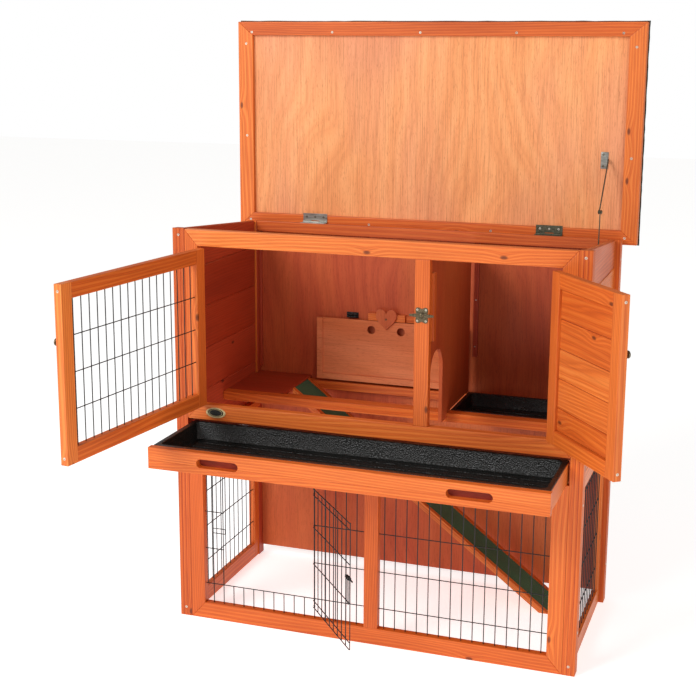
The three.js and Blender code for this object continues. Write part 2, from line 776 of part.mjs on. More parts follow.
// The lid is made level, reaching forward from its hinge pin, with its underside below the pin's
// axis by half the gap that the hinge leaves need. The group then turns it up.
const pin_y = back + hinge_pin_behind
const pin_z = roof_at(pin_y) + lid_gap / 2 / Math.cos(slope)
const lid = new THREE.Group()
lid.position.set(0, pin_y, pin_z)
lid.rotation.x = rad(-lid_open)
group.add(lid)
const under = lid_gap / 2
const lid_x = half + lid_side_overhang
const lid_y0 = -(pin_y - front) / Math.cos(slope) - lid_front_overhang
const lid_y1 = lid_rear_overhang
const lid_top = under + lid_frame_thickness
{
  const in_x = lid_x - lid_side
  const opening = box(-in_x, in_x, lid_y0 + lid_end, lid_y1 - lid_end, under - past, lid_top + past)
  piece(lid, 'lid_frame', cut(box(-lid_x, lid_x, lid_y0, lid_y1, under, lid_top), opening), pine)
  const panel_z = under + lid_panel_recess
  piece(lid, 'lid_panel', box(
    -in_x + fit, in_x - fit, lid_y0 + lid_end + fit, lid_y1 - lid_end - fit,
    panel_z, lid_top - fit), plywood)
  piece(lid, 'lid_felt', box(
    -lid_x - felt_overhang, lid_x + felt_overhang, lid_y0 - felt_overhang, lid_y1 + felt_overhang,
    lid_top + fit, lid_top + fit + felt_thickness), roof_felt)
}

// ---- lid hinges ---------------------------------------------------------------------------

// Both leaves reach forward from the pin: the fixed one lies on the back rail, the moving one
// under the lid. The barrel's middle third is fixed and holds the pin of the moving leaf.
function lidHinge(name, x) {
  const third = leaf_length / 3
  const x0 = x - leaf_length / 2
  const x1 = x + leaf_length / 2
  const fixed = new THREE.Group()
  fixed.position.set(0, pin_y, pin_z)
  fixed.rotation.x = -slope
  group.add(fixed)
  const low = -under + leaf_gap
  const mid0 = x0 + third + barrel_gap
  const mid1 = x1 - third - barrel_gap
  const edge = -barrel_radius - knuckle_relief
  const leafDown = box(mid0, mid1, -leaf_width, 0, low, low + leaf_thickness)
  const middle = rod(barrel_radius, mid0, mid1, 0, 0)
  const spreadLeaf = box(x0, x1, -leaf_width, edge, low, low + leaf_thickness)
  const bore = rod(barrel_bore, x0, x1, 0, 0)
  piece(fixed, name + '_fixed_leaf', cut(joined(leafDown, middle, spreadLeaf), bore), zinc)

  const high = under - leaf_gap
  const leafUp = box(x0, x1, -leaf_width, edge, high - leaf_thickness, high)
  const ends = []
  for (const [a, b] of [[x0, x0 + third], [x1 - third, x1]]) {
    ends.push(box(a, b, -leaf_width, 0, high - leaf_thickness, high))
    ends.push(rod(barrel_radius, a, b, 0, 0))
  }
  const pin = rod(pin_radius, x0 + leaf_thickness, x1 - leaf_thickness, 0, 0)
  piece(lid, name + '_moving_leaf', joined(leafUp, ...ends, pin), zinc)
}
lidHinge('left_lid_hinge', -hinge_x)
lidHinge('right_lid_hinge', hinge_x)

// ---- folding stay of the lid --------------------------------------------------------------

// Seen from the side, all in Y and Z. The wall pivot is fixed, the lid pivot stands on a lug,
// and the rivet that joins the two arms is where circles about the pivots cross.
const stay_a = [pin_y + under + lid_panel_recess - stay_lug_height, pin_z + stay_lid_pivot]
const stay_b_y = back - stay_wall_pivot[0]
const stay_b = [stay_b_y, roof_at(stay_b_y) - stay_wall_pivot[1]]
const stay_x = side_inner - stay_wall_gap
function elbow(a, b, from_a, from_b) {
  const dy = b[0] - a[0]
  const dz = b[1] - a[1]
  const d = Math.hypot(dy, dz)
  const along = (from_a ** 2 - from_b ** 2 + d ** 2) / (2 * d)
  const across = Math.sqrt(from_a ** 2 - along ** 2)
  return [a[0] + (along * dy + across * dz) / d, a[1] + (along * dz - across * dy) / d]
}
const stay_k = elbow(stay_a, stay_b, stay_upper_length, stay_lower_length)

// a flat arm from p to q with round ends and a hole at each end
function arm(p, q, x0, x1, hole) {
  const r = stay_width / 2
  const a = Math.atan2(q[1] - p[1], q[0] - p[0])
  const shape = new THREE.Shape()
  shape.absarc(p[0], p[1], r, a + Math.PI / 2, a + Math.PI * 1.5, false)
  shape.absarc(q[0], q[1], r, a - Math.PI / 2, a + Math.PI / 2, false)
  for (const end of [p, q]) {
    const round = new THREE.Path()
    round.absarc(end[0], end[1], hole, 0, Math.PI * 2, true)
    shape.holes.push(round)
  }
  return alongX(shape, x0, x1, 6)
}
const upper_x1 = stay_x
const upper_x0 = stay_x - stay_thickness
const lower_x0 = stay_x + stay_layer
const lower_x1 = lower_x0 + stay_thickness
piece(group, 'stay_upper_arm', arm(stay_a, stay_k, upper_x0, upper_x1, eye_radius), zinc)
piece(group, 'stay_lower_arm', joined(
  arm(stay_b, stay_k, lower_x0, lower_x1, eye_radius),
  rod(stay_rivet_radius, lower_x0 + rivet_lap[0], lower_x1 + rivet_lap[1], stay_k[0], stay_k[1], 12)), zinc)
{
  // the bracket is screwed to the inside of the right wall, and its stud carries the lower arm
  const [y, z] = stay_b
  const wall_x = side_inner - stay_thickness
  const in_wall = side_inner - stay_thickness / 2
  const plate = box(wall_x, side_inner, y - bracket_half_width, y + bracket_half_width,
    z + bracket_span[0], z + bracket_span[1])
  const reach = rod(stud_radius, upper_x1 + stud_reach, in_wall, y, z, 12)
  const collar_x0 = lower_x1 + 2 * stud_reach
  const collar = rod(stay_rivet_radius + collar_extra, collar_x0, in_wall, y, z, 12)
  piece(group, 'stay_wall_bracket', joined(plate, reach, collar), zinc)
}
{
  // the plate under the lid's panel, with a lug for the upper arm
  const z1 = under + lid_panel_recess - fit
  const z0 = z1 - stay_thickness
  const y = -stay_lid_pivot
  const x1 = upper_x0 - stay_layer
  const half_length = stay_plate_length / 2
  const plate = box(x1 - stay_plate_width, x1, y - half_length, y + half_length, z0, z1)
  const pivot_z = under + lid_panel_recess - stay_lug_height
  const lug_x0 = x1 - stay_thickness
  const lug_half = stay_width / 2
  const lug = box(lug_x0, x1, y - lug_half, y + lug_half, pivot_z - lug_half, z1)
  const pivot = rod(stud_radius, x1 - stay_thickness / 2, upper_x1 + stud_reach, y, pivot_z, 12)
  piece(lid, 'stay_lid_plate', joined(plate, lug, pivot), zinc)
}

// ---- ramp ---------------------------------------------------------------------------------

const ramp_y1 = panel_front - ramp_rear_gap
const ramp_y0 = ramp_y1 - ramp_width
const ramp_x0 = hole_left_x + ramp_play
const ramp_angle = Math.atan2(ramp_top_z, ramp_foot_x - ramp_x0)
// an outline between two heights above the ramp's face, cut plumb at the top and flat at the foot
function rampSlab(low, high, y0, y1, foot_gap = 0) {
  const drop = (h) => h / Math.cos(ramp_angle)
  const run = (h) => h / Math.sin(ramp_angle)
  return alongY(outlineOf([
    [ramp_x0, ramp_top_z + drop(low)],
    [ramp_foot_x + run(low) - foot_gap, foot_gap * Math.tan(ramp_angle)],
    [ramp_foot_x + run(high) - foot_gap, foot_gap * Math.tan(ramp_angle)],
    [ramp_x0, ramp_top_z + drop(high)],
  ]), y0, y1)
}
const ramp_board = rampSlab(-ramp_thickness, 0, ramp_y0, ramp_y1)
const strip_a = rampSlab(-ramp_thickness / 2, ramp_strip_height, ramp_y0, ramp_y0 + ramp_strip_width)
const strip_b = rampSlab(-ramp_thickness / 2, ramp_strip_height, ramp_y1 - ramp_strip_width, ramp_y1)
piece(group, 'ramp_board', joined(ramp_board, strip_a, strip_b), pine)
const felt_y0 = ramp_y0 + ramp_strip_width + fit
const felt_y1 = ramp_y1 - ramp_strip_width - fit
const ramp_felt = rampSlab(fit, ramp_felt_thickness, felt_y0, felt_y1, ramp_play)
piece(group, 'ramp_felt', ramp_felt, green_felt)
piece(group, 'hole_ledge', box(
  -side_inner, divider_x0, cross_y1, cross_y1 + hole_ledge_depth,
  floor_bottom - hole_ledge_height, floor_bottom), pine)

// ---- ramp flap, folded up against the back ------------------------------------------------

const flap_x1 = divider_x0 - flap_side_gap
const flap_y1 = panel_front - flap_pin_gap
const flap_panel_y0 = flap_y1 - flap_panel_thickness
const flap_y0 = flap_y1 - flap_frame_thickness
const flap_z0 = floor_top - flap_foot_drop
const flap_z1 = flap_z0 + flap_height
{
  const panel = new THREE.Shape()
  panel.moveTo(flap_left_x, flap_z0)
  panel.lineTo(flap_x1, flap_z0)
  panel.lineTo(flap_x1, flap_z1)
  panel.lineTo(flap_left_x, flap_z1)
  for (const x of flap_hole_x) {
    const hole = new THREE.Path()
    hole.absarc(x, flap_z1 - flap_hole_drop, flap_hole_radius, 0, Math.PI * 2, true)
    panel.holes.push(hole)
  }
  const board = alongY(panel, flap_panel_y0, flap_y1, 10)
  const mid = (flap_panel_y0 + flap_y1) / 2
  const strips = [
    box(flap_left_x, flap_left_x + flap_frame_width, flap_y0, mid, flap_z0, flap_z1),
    box(flap_x1 - flap_frame_width, flap_x1, flap_y0, mid, flap_z0, flap_z1),
    box(flap_left_x, flap_x1, flap_y0, mid, flap_z0, flap_z0 + flap_frame_width),
  ]
  piece(group, 'ramp_flap', joined(board, ...strips), plywood)

  // the cleat is on the wall above the flap, and the heart turns on it to hold the flap up
  const cleat_y0 = flap_panel_y0
  const cleat_z0 = flap_z1 + cleat_gap
  piece(group, 'flap_cleat', box(
    heart_x - cleat_length / 2, heart_x + cleat_length / 2,
    cleat_y0, panel_front, cleat_z0, cleat_z0 + cleat_height), pine)
  const u = heart_size / 2
  const cz = cleat_z0 + cleat_height / 2 - heart_drop
  const heart = new THREE.Shape()
  heart.moveTo(heart_x, cz - u)
  const curve = (...shares) =>
    heart.bezierCurveTo(...shares.map((share, i) => (i % 2 ? cz : heart_x) + share * u))
  curve(-0.3, -0.6, -1, -0.2, -1, 0.35)
  curve(-1, 1.05, -0.15, 1.05, 0, 0.5)
  curve(0.15, 1.05, 1, 1.05, 1, 0.35)
  curve(1, -0.2, 0.3, -0.6, 0, -1)
  const heart_y1 = cleat_y0 - fit
  piece(group, 'heart_button', alongY(heart, heart_y1 - heart_thickness, heart_y1, 6), pine)
}

export default group
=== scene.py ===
# %% [markdown]
# # A two-storey rabbit hutch, dressed in Blender
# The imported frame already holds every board, door and rail at its true size. This lesson gives those
# parts eased edges, real grain, round wire and small fittings, so that the hutch looks made, not cut
# from blocks. All lengths are metres, +Z is up, and the front faces -Y.

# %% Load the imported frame
import math
import random

import bmesh
import bpy
from mathutils import Matrix, Vector
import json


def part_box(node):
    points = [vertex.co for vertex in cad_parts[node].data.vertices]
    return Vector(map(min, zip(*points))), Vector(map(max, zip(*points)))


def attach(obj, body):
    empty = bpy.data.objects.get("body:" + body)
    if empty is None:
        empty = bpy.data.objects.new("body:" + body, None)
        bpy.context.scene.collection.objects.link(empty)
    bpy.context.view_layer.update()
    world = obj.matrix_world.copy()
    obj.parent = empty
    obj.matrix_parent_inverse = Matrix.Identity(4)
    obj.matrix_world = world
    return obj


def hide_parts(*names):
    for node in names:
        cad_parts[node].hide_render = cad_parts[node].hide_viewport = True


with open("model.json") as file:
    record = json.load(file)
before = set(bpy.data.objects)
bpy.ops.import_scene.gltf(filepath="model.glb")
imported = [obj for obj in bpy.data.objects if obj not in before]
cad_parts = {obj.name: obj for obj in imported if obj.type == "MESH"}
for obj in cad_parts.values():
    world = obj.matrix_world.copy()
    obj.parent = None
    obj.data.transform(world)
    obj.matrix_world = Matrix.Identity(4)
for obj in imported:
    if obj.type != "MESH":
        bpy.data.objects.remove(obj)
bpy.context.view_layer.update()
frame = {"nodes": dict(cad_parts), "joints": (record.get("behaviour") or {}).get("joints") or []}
joint = {j["name"]: j for j in frame["joints"]}
dice = random.Random(11)
mm = 0.001
roof_fall = 38 / 454  # the roof drops this much for each metre towards the back

# %% [markdown]
# ## The camera
# A long lens from the front right, a little above the lid's hinge line, keeps the posts nearly
# parallel. The camera is placed by a matrix of its three directions, because the view also leans
# by a third of a degree. That is easier to read than three Euler angles found by trial.

# %% Camera
yaw, pitch, lean = math.radians(19.24), math.radians(12.22), math.radians(0.30)
ahead = Vector((-math.sin(yaw) * math.cos(pitch), math.cos(yaw) * math.cos(pitch), -math.sin(pitch)))
level = Vector((math.cos(yaw), math.sin(yaw), 0))
upward = level.cross(ahead)
side = math.cos(lean) * level + math.sin(lean) * upward
top = math.cos(lean) * upward - math.sin(lean) * level
eye = Vector((0.8981, -2.7374, 1.3877))
lens = bpy.data.cameras.new("view")
lens.lens = 67.98
lens.sensor_width = 36
lens.shift_x = 0.0
lens.shift_y = -0.031
camera = bpy.data.objects.new("view", lens)
camera.matrix_world = Matrix((
    (side.x, top.x, -ahead.x, eye.x),
    (side.y, top.y, -ahead.y, eye.y),
    (side.z, top.z, -ahead.z, eye.z),
    (0, 0, 0, 1),
))
bpy.context.scene.collection.objects.link(camera)
bpy.context.scene.camera = camera
print("camera stands", round(eye.length, 2), "m from the origin")

# %% [markdown]
# ## Grain that follows each stick
# Wood looks wrong at once when the grain runs across a rail, or when two boards share one pattern.
# A texture in object space would do both, because every stick sits in one frame. So each mesh carries
# its own point attribute, `grain`: the first number runs along the stick, the other two across it,
# moved by a chance amount. A second attribute, `tone`, gives each stick its own depth of stain; on the
# top rail's left end and the left door's free stile it is raised as a painted highlight.

# %% Node helpers
def material(name, roughness=0.5, metallic=0.0, **sockets):
    made = bpy.data.materials.new(name)
    made.use_nodes = True
    shader = made.node_tree.nodes["Principled BSDF"]
    shader.inputs["Roughness"].default_value = roughness
    shader.inputs["Metallic"].default_value = metallic
    for key, value in sockets.items():
        shader.inputs[key.replace("_", " ")].default_value = value
    return made, made.node_tree, shader


def node(tree, kind, **settings):
    made = tree.nodes.new("ShaderNode" + kind)
    for key, value in settings.items():
        if hasattr(made, key):
            setattr(made, key, value)
        else:
            made.inputs[key.replace("_", " ")].default_value = value
    return made


def link(tree, source, target):
    tree.links.new(source, target)


def ramp(tree, factor, stops):
    made = node(tree, "ValToRGB")
    bar = made.color_ramp
    while len(bar.elements) < len(stops):
        bar.elements.new(0.5)
    for element, (place, colour) in zip(bar.elements, stops):
        element.position = place
        element.color = (*colour, 1) if len(colour) == 3 else colour
    link(tree, factor, made.inputs[0])
    return made.outputs[0]


def srgb(r, g, b):
    return tuple((c / 255 / 12.92) if c <= 10 else ((c / 255 + 0.055) / 1.055) ** 2.4 for c in (r, g, b))


def mixed(tree, kind, amount, a, b):
    made = node(tree, "Mix", data_type="RGBA", blend_type=kind)
    if isinstance(amount, float):
        made.inputs[0].default_value = amount
    else:
        link(tree, amount, made.inputs[0])
    for place, value in ((6, a), (7, b)):
        if isinstance(value, tuple):
            made.inputs[place].default_value = (*value, 1)
        else:
            link(tree, value, made.inputs[place])
    return made.outputs[2]


def sums(tree, kind, a, b=None, c=None):
    made = node(tree, "Math", operation=kind)
    for place, value in enumerate((a, b, c)):
        if value is None:
            continue
        if isinstance(value, (int, float)):
            made.inputs[place].default_value = value
        else:
            link(tree, value, made.inputs[place])
    return made.outputs[0]


print("node helpers ready")

# %% [markdown]
# ## Stained softwood
# The posts and rails are pine under an orange stain. Growth rings are sine bands across the stick,
# bent by a slow noise that is stretched along it, which gives the long flames of sawn boards. A
# Voronoi cell here and there makes a knot, and pushes the rings apart around it. Fine stretched noise
# is the fibre. An image texture would be quicker, but it could not follow every stick's own attribute.

# %% Wood finish
def stretched(tree, vector, kind, scale, **settings):
    """A texture whose space is scaled along and across the grain before it is read."""
    fit = node(tree, "Mapping", Scale=scale)
    link(tree, vector, fit.inputs[0])
    made = node(tree, kind, Scale=1.0, **settings)
    link(tree, fit.outputs[0], made.inputs["Vector"])
    return made


def wood(name, light, middle, dark, knot, ring=52.0, warp=0.05, rough=0.46, knots=0.026, figure=0.5,
         fleck=0.45, patch=None, sweep=(0.7, 7, 7), clouds=0.8):
    made, tree, shader = material(name, roughness=rough)
    grain = node(tree, "Attribute", attribute_name="grain").outputs["Vector"]
    tone = node(tree, "Attribute", attribute_name="tone").outputs["Fac"]

    split = node(tree, "SeparateXYZ")
    link(tree, grain, split.inputs[0])
    level = sums(tree, "MULTIPLY_ADD", split.outputs[2], 0.9, split.outputs[1])
    face = node(tree, "CombineXYZ")
    link(tree, split.outputs[0], face.inputs[0])
    link(tree, level, face.inputs[1])
    spot = stretched(tree, face.outputs[0], "TexVoronoi", (3.2, 7.5, 0), voronoi_dimensions="2D")
    near = spot.outputs["Distance"]
    push = sums(tree, "POWER", sums(tree, "MAXIMUM", sums(tree, "MULTIPLY_ADD", near, -5.0, 1.0), 0.0), 2.0)

    slow = stretched(tree, grain, "TexNoise", sweep, Detail=2.0, Roughness=0.45)
    bend = sums(tree, "MULTIPLY", sums(tree, "SUBTRACT", slow.outputs["Fac"], 0.5), warp * 2)
    bend = sums(tree, "MULTIPLY_ADD", push, 0.009, bend)
    across = sums(tree, "ADD", sums(tree, "MULTIPLY_ADD", split.outputs[2], 0.6, split.outputs[1]), bend)
    together = node(tree, "CombineXYZ")
    link(tree, sums(tree, "MULTIPLY", split.outputs[0], 0.1), together.inputs[0])
    link(tree, across, together.inputs[1])
    rings = node(tree, "TexWave", wave_type="BANDS", bands_direction="Y", Scale=ring, Distortion=1.2,
                 Detail=2.0, Detail_Scale=1.5)
    link(tree, together.outputs[0], rings.inputs["Vector"])
    fibre = stretched(tree, grain, "TexNoise", (9, 420, 420), Detail=3.0, Roughness=0.6).outputs["Fac"]
    cloud = stretched(tree, grain, "TexNoise", (2.2, 13, 13), Detail=3.0, Roughness=0.5).outputs["Fac"]

    banded = ramp(tree, rings.outputs["Fac"], [(0.0, light), (0.5, middle), (0.9, dark), (1.0, middle)])
    shade = mixed(tree, "MIX", figure, middle, banded)
    if patch:
        wide = stretched(tree, grain, "TexNoise", (1.6, 4.2, 4.2), Detail=2.0, Roughness=0.5)
        amount = ramp(tree, wide.outputs["Fac"], [(0.42, (0, 0, 0)), (0.66, (0.8, 0.8, 0.8))])
        shade = mixed(tree, "MIX", amount, shade, patch)
        dash = stretched(tree, grain, "TexNoise", (75, 620, 620), Detail=2.0, Roughness=0.5)
        marks = [(0.30, (0.62, 0.5, 0.42)), (0.42, (1, 1, 1)), (0.62, (1, 1, 1)), (0.74, (1.12, 1.2, 1.28))]
        mark = ramp(tree, dash.outputs["Fac"], marks)
        shade = mixed(tree, "MULTIPLY", 0.55, shade, mark)
    cloudy = ramp(tree, cloud, [(0.3, (0.80, 0.70, 0.60)), (0.5, (1, 1, 1)), (0.72, (1.08, 1.14, 1.2))])
    shade = mixed(tree, "MULTIPLY", clouds, shade, cloudy)
    streak = ramp(tree, fibre, [(0.32, (0.62, 0.52, 0.45)), (0.5, (1, 1, 1)), (0.7, (1.08, 1.12, 1.16))])
    shade = mixed(tree, "MULTIPLY", fleck, shade, streak)
    # tone deepens or pales the stain; where it is raised for the lit side of a stick it paints a highlight.
    depth = ramp(tree, tone, [(0.0, (0.76, 0.58, 0.42)), (0.5, (1, 1, 1)), (1.0, (1.12, 1.45, 2.1))])
    shade = mixed(tree, "MULTIPLY", 1.0, shade, depth)
    fade = [(0.0, 0.9), (0.8, 0.75), (1.0, 0.35), (1.35, 0)]
    edge = ramp(tree, near, [(knots * far, (grey, grey, grey)) for far, grey in fade])
    shade = mixed(tree, "MIX", edge, shade, knot)
    link(tree, shade, shader.inputs["Base Color"])

    dull = node(tree, "MapRange", From_Min=0.3, From_Max=0.7, To_Min=rough + 0.1, To_Max=rough - 0.06)
    link(tree, cloud, dull.inputs[0])
    link(tree, dull.outputs[0], shader.inputs["Roughness"])
    relief = sums(tree, "MULTIPLY_ADD", fibre, 0.6, sums(tree, "MULTIPLY", rings.outputs["Fac"], 0.4))
    bump = node(tree, "Bump", Strength=0.3, Distance=0.0006)
    link(tree, relief, bump.inputs["Height"])
    link(tree, bump.outputs[0], shader.inputs["Normal"])
    shader.inputs["Specular IOR Level"].default_value = 0.35
    shader.inputs["Coat Weight"].default_value = 0.05
    shader.inputs["Coat Roughness"].default_value = 0.35
    return made


pine = wood(
    "stained_pine", srgb(230, 128, 52), srgb(213, 100, 32), srgb(166, 60, 14), srgb(92, 34, 12), figure=0.4
)
# A darker, redder copy of the pine for faces inside the hutch: painted shade.
pine_painted_shade = wood(
    "pine_with_painted_shade", srgb(184, 70, 34), srgb(168, 56, 26), srgb(128, 36, 16), srgb(66, 20, 8), figure=0.3
)
plywood = wood("lid_plywood", srgb(242, 168, 106), srgb(232, 148, 86), srgb(214, 124, 68), srgb(190, 104, 58),
               ring=6.0, warp=0.20, rough=0.5, knots=0.003, figure=0.3, fleck=0.55,
               patch=srgb(220, 140, 96),
               sweep=(1.7, 2.6, 2.6), clouds=0.45)
back_ply = wood("back_plywood", srgb(200, 94, 50), srgb(186, 78, 40), srgb(160, 62, 30), srgb(110, 44, 24),
                ring=7.0, warp=0.17, rough=0.52, knots=0.003, figure=0.3, fleck=0.4,
                patch=srgb(204, 106, 52),
                sweep=(1.8, 3.4, 3.4), clouds=0.5)
flap_ply = wood("flap_plywood", srgb(222, 122, 66), srgb(208, 106, 52), srgb(186, 86, 38), srgb(130, 60, 34),
                ring=8.0, warp=0.16, rough=0.5, knots=0.003, figure=0.35, fleck=0.35,
                patch=srgb(232, 142, 94),
                sweep=(2.4, 5.0, 5.0), clouds=0.5)
print("wood finishes", [m.name for m in (pine, pine_painted_shade, plywood, back_ply, flap_ply)])

# %% [markdown]
# ## Felt, plastic, wire and metal
# The other finishes take their detail from object space, because they have no grain to follow. The
# tray's plastic has a moulded stipple: a cell pattern that drives the bump, so its rim catches grey
# light. Roofing felt has mineral grit, the ramp's felt has soft nap, the wire has a thin dull coat, and
# the zinc is brushed by a stretched noise. One flat colour each would be quicker and look like a toy.

# %% Other finishes
def grained(
    name, dark, light, size, rough, metallic=0.0, bump=0.3, depth=0.0004, stretch=(1, 1, 1), cell=False,
    **sockets
):
    made, tree, shader = material(name, roughness=rough, metallic=metallic, **sockets)
    place = node(tree, "TexCoord").outputs["Object"]
    fit = node(tree, "Mapping", Scale=tuple(size * s for s in stretch))
    link(tree, place, fit.inputs[0])
    if cell:
        speck = node(tree, "TexVoronoi", Scale=1.0)
    else:
        speck = node(tree, "TexNoise", Scale=1.0, Detail=4.0, Roughness=0.65)
    link(tree, fit.outputs[0], speck.inputs["Vector"])
    value = speck.outputs["Distance"] if cell else speck.outputs["Fac"]
    wide = node(tree, "TexNoise", Scale=14.0, Detail=3.0)
    link(tree, place, wide.inputs["Vector"])
    near = ramp(tree, value, [(0.3, dark), (0.7, light)])
    patch = ramp(tree, wide.outputs["Fac"], [(0.35, (0.8, 0.8, 0.8)), (0.65, (1.15, 1.15, 1.15))])
    link(tree, mixed(tree, "MULTIPLY", 0.8, near, patch), shader.inputs["Base Color"])
    low, high = max(rough - 0.1, 0.05), min(rough + 0.1, 1.0)
    spread = node(tree, "MapRange", From_Min=0.3, From_Max=0.7, To_Min=low, To_Max=high)
    link(tree, wide.outputs["Fac"], spread.inputs[0])
    link(tree, spread.outputs[0], shader.inputs["Roughness"])
    relief = node(tree, "Bump", Strength=bump, Distance=depth)
    link(tree, value, relief.inputs["Height"])
    link(tree, relief.outputs[0], shader.inputs["Normal"])
    return made


roof_felt = grained("roof_felt", srgb(20, 26, 20), srgb(58, 66, 56), 900, 0.92, bump=0.7, depth=0.0008)
ramp_felt = grained(
    "ramp_felt", srgb(38, 72, 46), srgb(74, 118, 78), 1400, 0.95, bump=0.6, depth=0.0006, Sheen_Weight=0.05
)
plastic = grained(
    "tray_plastic", srgb(26, 26, 24), srgb(9, 9, 8), 330, 0.36, bump=0.95, depth=0.0014, cell=True
)
wire_coat = grained("wire_coat", srgb(14, 13, 12), srgb(30, 28, 26), 500, 0.5, metallic=0.2, bump=0.15)
zinc = grained(
    "zinc_plate", srgb(118, 118, 112), srgb(180, 178, 170), 260, 0.4, metallic=0.9, bump=0.12,
    stretch=(0.1, 1, 1)
)
dull_zinc = grained("dull_zinc", srgb(58, 58, 46), srgb(112, 112, 94), 300, 0.5, metallic=0.8, bump=0.2)
bronze = grained("antique_bronze", srgb(58, 50, 38), srgb(128, 114, 88), 420, 0.4, metallic=0.8, bump=0.25)
plate_bronze = grained(
    "plate_bronze", srgb(176, 156, 104), srgb(240, 222, 172), 520, 0.36, metallic=0.3, bump=0.2
)
screw_metal = grained(
    "screw_head", srgb(196, 192, 176), srgb(236, 232, 218), 300, 0.35, metallic=0.75, bump=0.1
)
# A dark red wood seen through the drawer's finger slots and between the door's planks: painted shade in the
# slots and gaps.
slot_painted_shade = grained(
    "wood_in_painted_shade", srgb(120, 34, 14), srgb(158, 52, 24), 240, 0.7, bump=0.4, stretch=(0.15, 1, 1)
)
print("other finishes ready")

# %% [markdown]
# ## Sticks, boards and round rods
# Nearly everything wooden here is a flat outline pushed through a thickness. So one helper makes such a
# prism in its own small space, eases its edges with a real bevel, notes the grain while it still knows
# which way is along, and only then puts it in place. Real sticks have edges rounded by a millimetre or
# so, and two rounded edges side by side make the dark joint line that frames show.

# %% Shape helpers
own_axis = {"x": "u", "y": "v", "z": "w"}


def prism(outline, depth, place, grain="u", ease=0.0014, tone=None, steps=2):
    """An outline in (u, v) pushed from w = 0 to depth; grain names the axis that the wood runs along."""
    work = bmesh.new()
    low = [work.verts.new((u, v, 0)) for u, v in outline]
    high = [work.verts.new((u, v, depth)) for u, v in outline]
    work.faces.new(low[::-1])
    work.faces.new(high)
    for i in range(len(outline)):
        j = (i + 1) % len(outline)
        work.faces.new((low[i], low[j], high[j], high[i]))
    return eased(work, place, grain, ease, tone, steps)


def eased(work, place, grain, ease, tone=None, steps=2, angle=25):
    bmesh.ops.recalc_face_normals(work, faces=work.faces[:])
    sharp = [e for e in work.edges if len(e.link_faces) == 2 and e.calc_face_angle(0) > math.radians(angle)]
    if ease > 0:
        bmesh.ops.bevel(
            work, geom=sharp, offset=ease, segments=steps, profile=0.6, affect="EDGES", clamp_overlap=True
        )
    turn = {"u": (0, 1, 2), "v": (1, 0, 2), "w": (2, 0, 1)}[grain]
    shift = Vector((dice.uniform(-4, 4), dice.uniform(-2, 2), dice.uniform(-1, 1)))
    shade = dice.uniform(0.2, 0.85) if tone is None else tone
    work.verts.index_update()
    local = [v.co.copy() for v in work.verts]
    faces = [[v.index for v in f.verts] for f in work.faces]
    work.free()
    flip = place.determinant() < 0
    return {
        "verts": [place @ p for p in local],
        "faces": [f[::-1] for f in faces] if flip else faces,
        "grain": [Vector((p[turn[0]], p[turn[1]], p[turn[2]])) + shift for p in local],
        "tone": [shade] * len(local),
        "smooth": False,
    }


def axes(origin, u, v):
    """A place whose u and v run along two given directions; w follows by the right-hand rule."""
    u, v = Vector(u).normalized(), Vector(v).normalized()
    w = u.cross(v)
    return Matrix([(u[i], v[i], w[i], origin[i]) for i in range(3)] + [(0, 0, 0, 1)])


def block(lo, hi, along="x", place=Matrix.Identity(4), **more):
    """An eased box between two corners, with its grain along x, y or z of the given place."""
    a, b = Vector(lo), Vector(hi)
    base = place @ Matrix.Translation(a)
    size = b - a
    outline = [(0, 0), (size.x, 0), (size.x, size.y), (0, size.y)]
    return prism(outline, size.z, base, own_axis[along], **more)


def around(count):
    """Angles that share a full turn."""
    return [2 * math.pi * k / count for k in range(count)]


def stitch(rows, n):
    """Four-sided faces between rows of n points, where each row runs round a loop."""
    return [[a * n + k, a * n + (k + 1) % n, b * n + (k + 1) % n, b * n + k]
            for a, b in zip(rows, rows[1:]) for k in range(n)]


def smooth_shape(verts, faces, grain=None):
    return {
        "verts": verts, "faces": faces, "grain": grain or verts, "tone": [0.5] * len(verts), "smooth": True
    }


def rod(points, radius, sides=10, close=False):
    """A round bar that follows some points, with mitred corners."""
    points = [Vector(p) for p in points]
    count = len(points)
    verts, grain = [], []
    side_way = None
    length = 0
    for i, p in enumerate(points):
        before = points[i - 1] if i or close else p
        after = points[(i + 1) % count] if i < count - 1 or close else p
        way = (after - before).normalized()
        if side_way is None:
            side_way = way.orthogonal().normalized()
        side_way = (side_way - way * side_way.dot(way)).normalized()
        other = way.cross(side_way)
        length += (p - before).length if i else 0
        for a in around(sides):
            verts.append(p + radius * (math.cos(a) * side_way + math.sin(a) * other))
            grain.append(Vector((length, a * radius, 0)))
    faces = stitch(list(range(count)) + [0] * close, sides)
    if not close:
        faces.append(list(range(sides))[::-1])
        faces.append([(count - 1) * sides + k for k in range(sides)])
    return smooth_shape(verts, faces, grain)


def turned(profile, place, sides=28):
    """A lathe shape: (radius, height) pairs turned about w, closed at both ends."""
    verts = [
        place @ Vector((r * math.cos(a), r * math.sin(a), h)) for r, h in profile for a in around(sides)
    ]
    faces = stitch(range(len(profile)), sides)
    faces.append(list(range(sides))[::-1])
    faces.append([(len(profile) - 1) * sides + k for k in range(sides)])
    flip = place.determinant() < 0
    return smooth_shape(verts, [f[::-1] for f in faces] if flip else faces)


def planed(name, along, ease=0.0014, tone=None, angle=25):
    """A frame part's own solid with its flat faces made whole again and its edges eased."""
    source = frame["nodes"][name].data
    work = bmesh.new()
    work.from_mesh(source)
    bmesh.ops.remove_doubles(work, verts=work.verts[:], dist=1e-5)
    bmesh.ops.dissolve_limit(work, angle_limit=math.radians(1), verts=work.verts[:], edges=work.edges[:])
    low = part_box(name)[0]
    for v in work.verts:
        v.co -= low
    return eased(work, Matrix.Translation(low), own_axis[along], ease, tone, angle=angle)


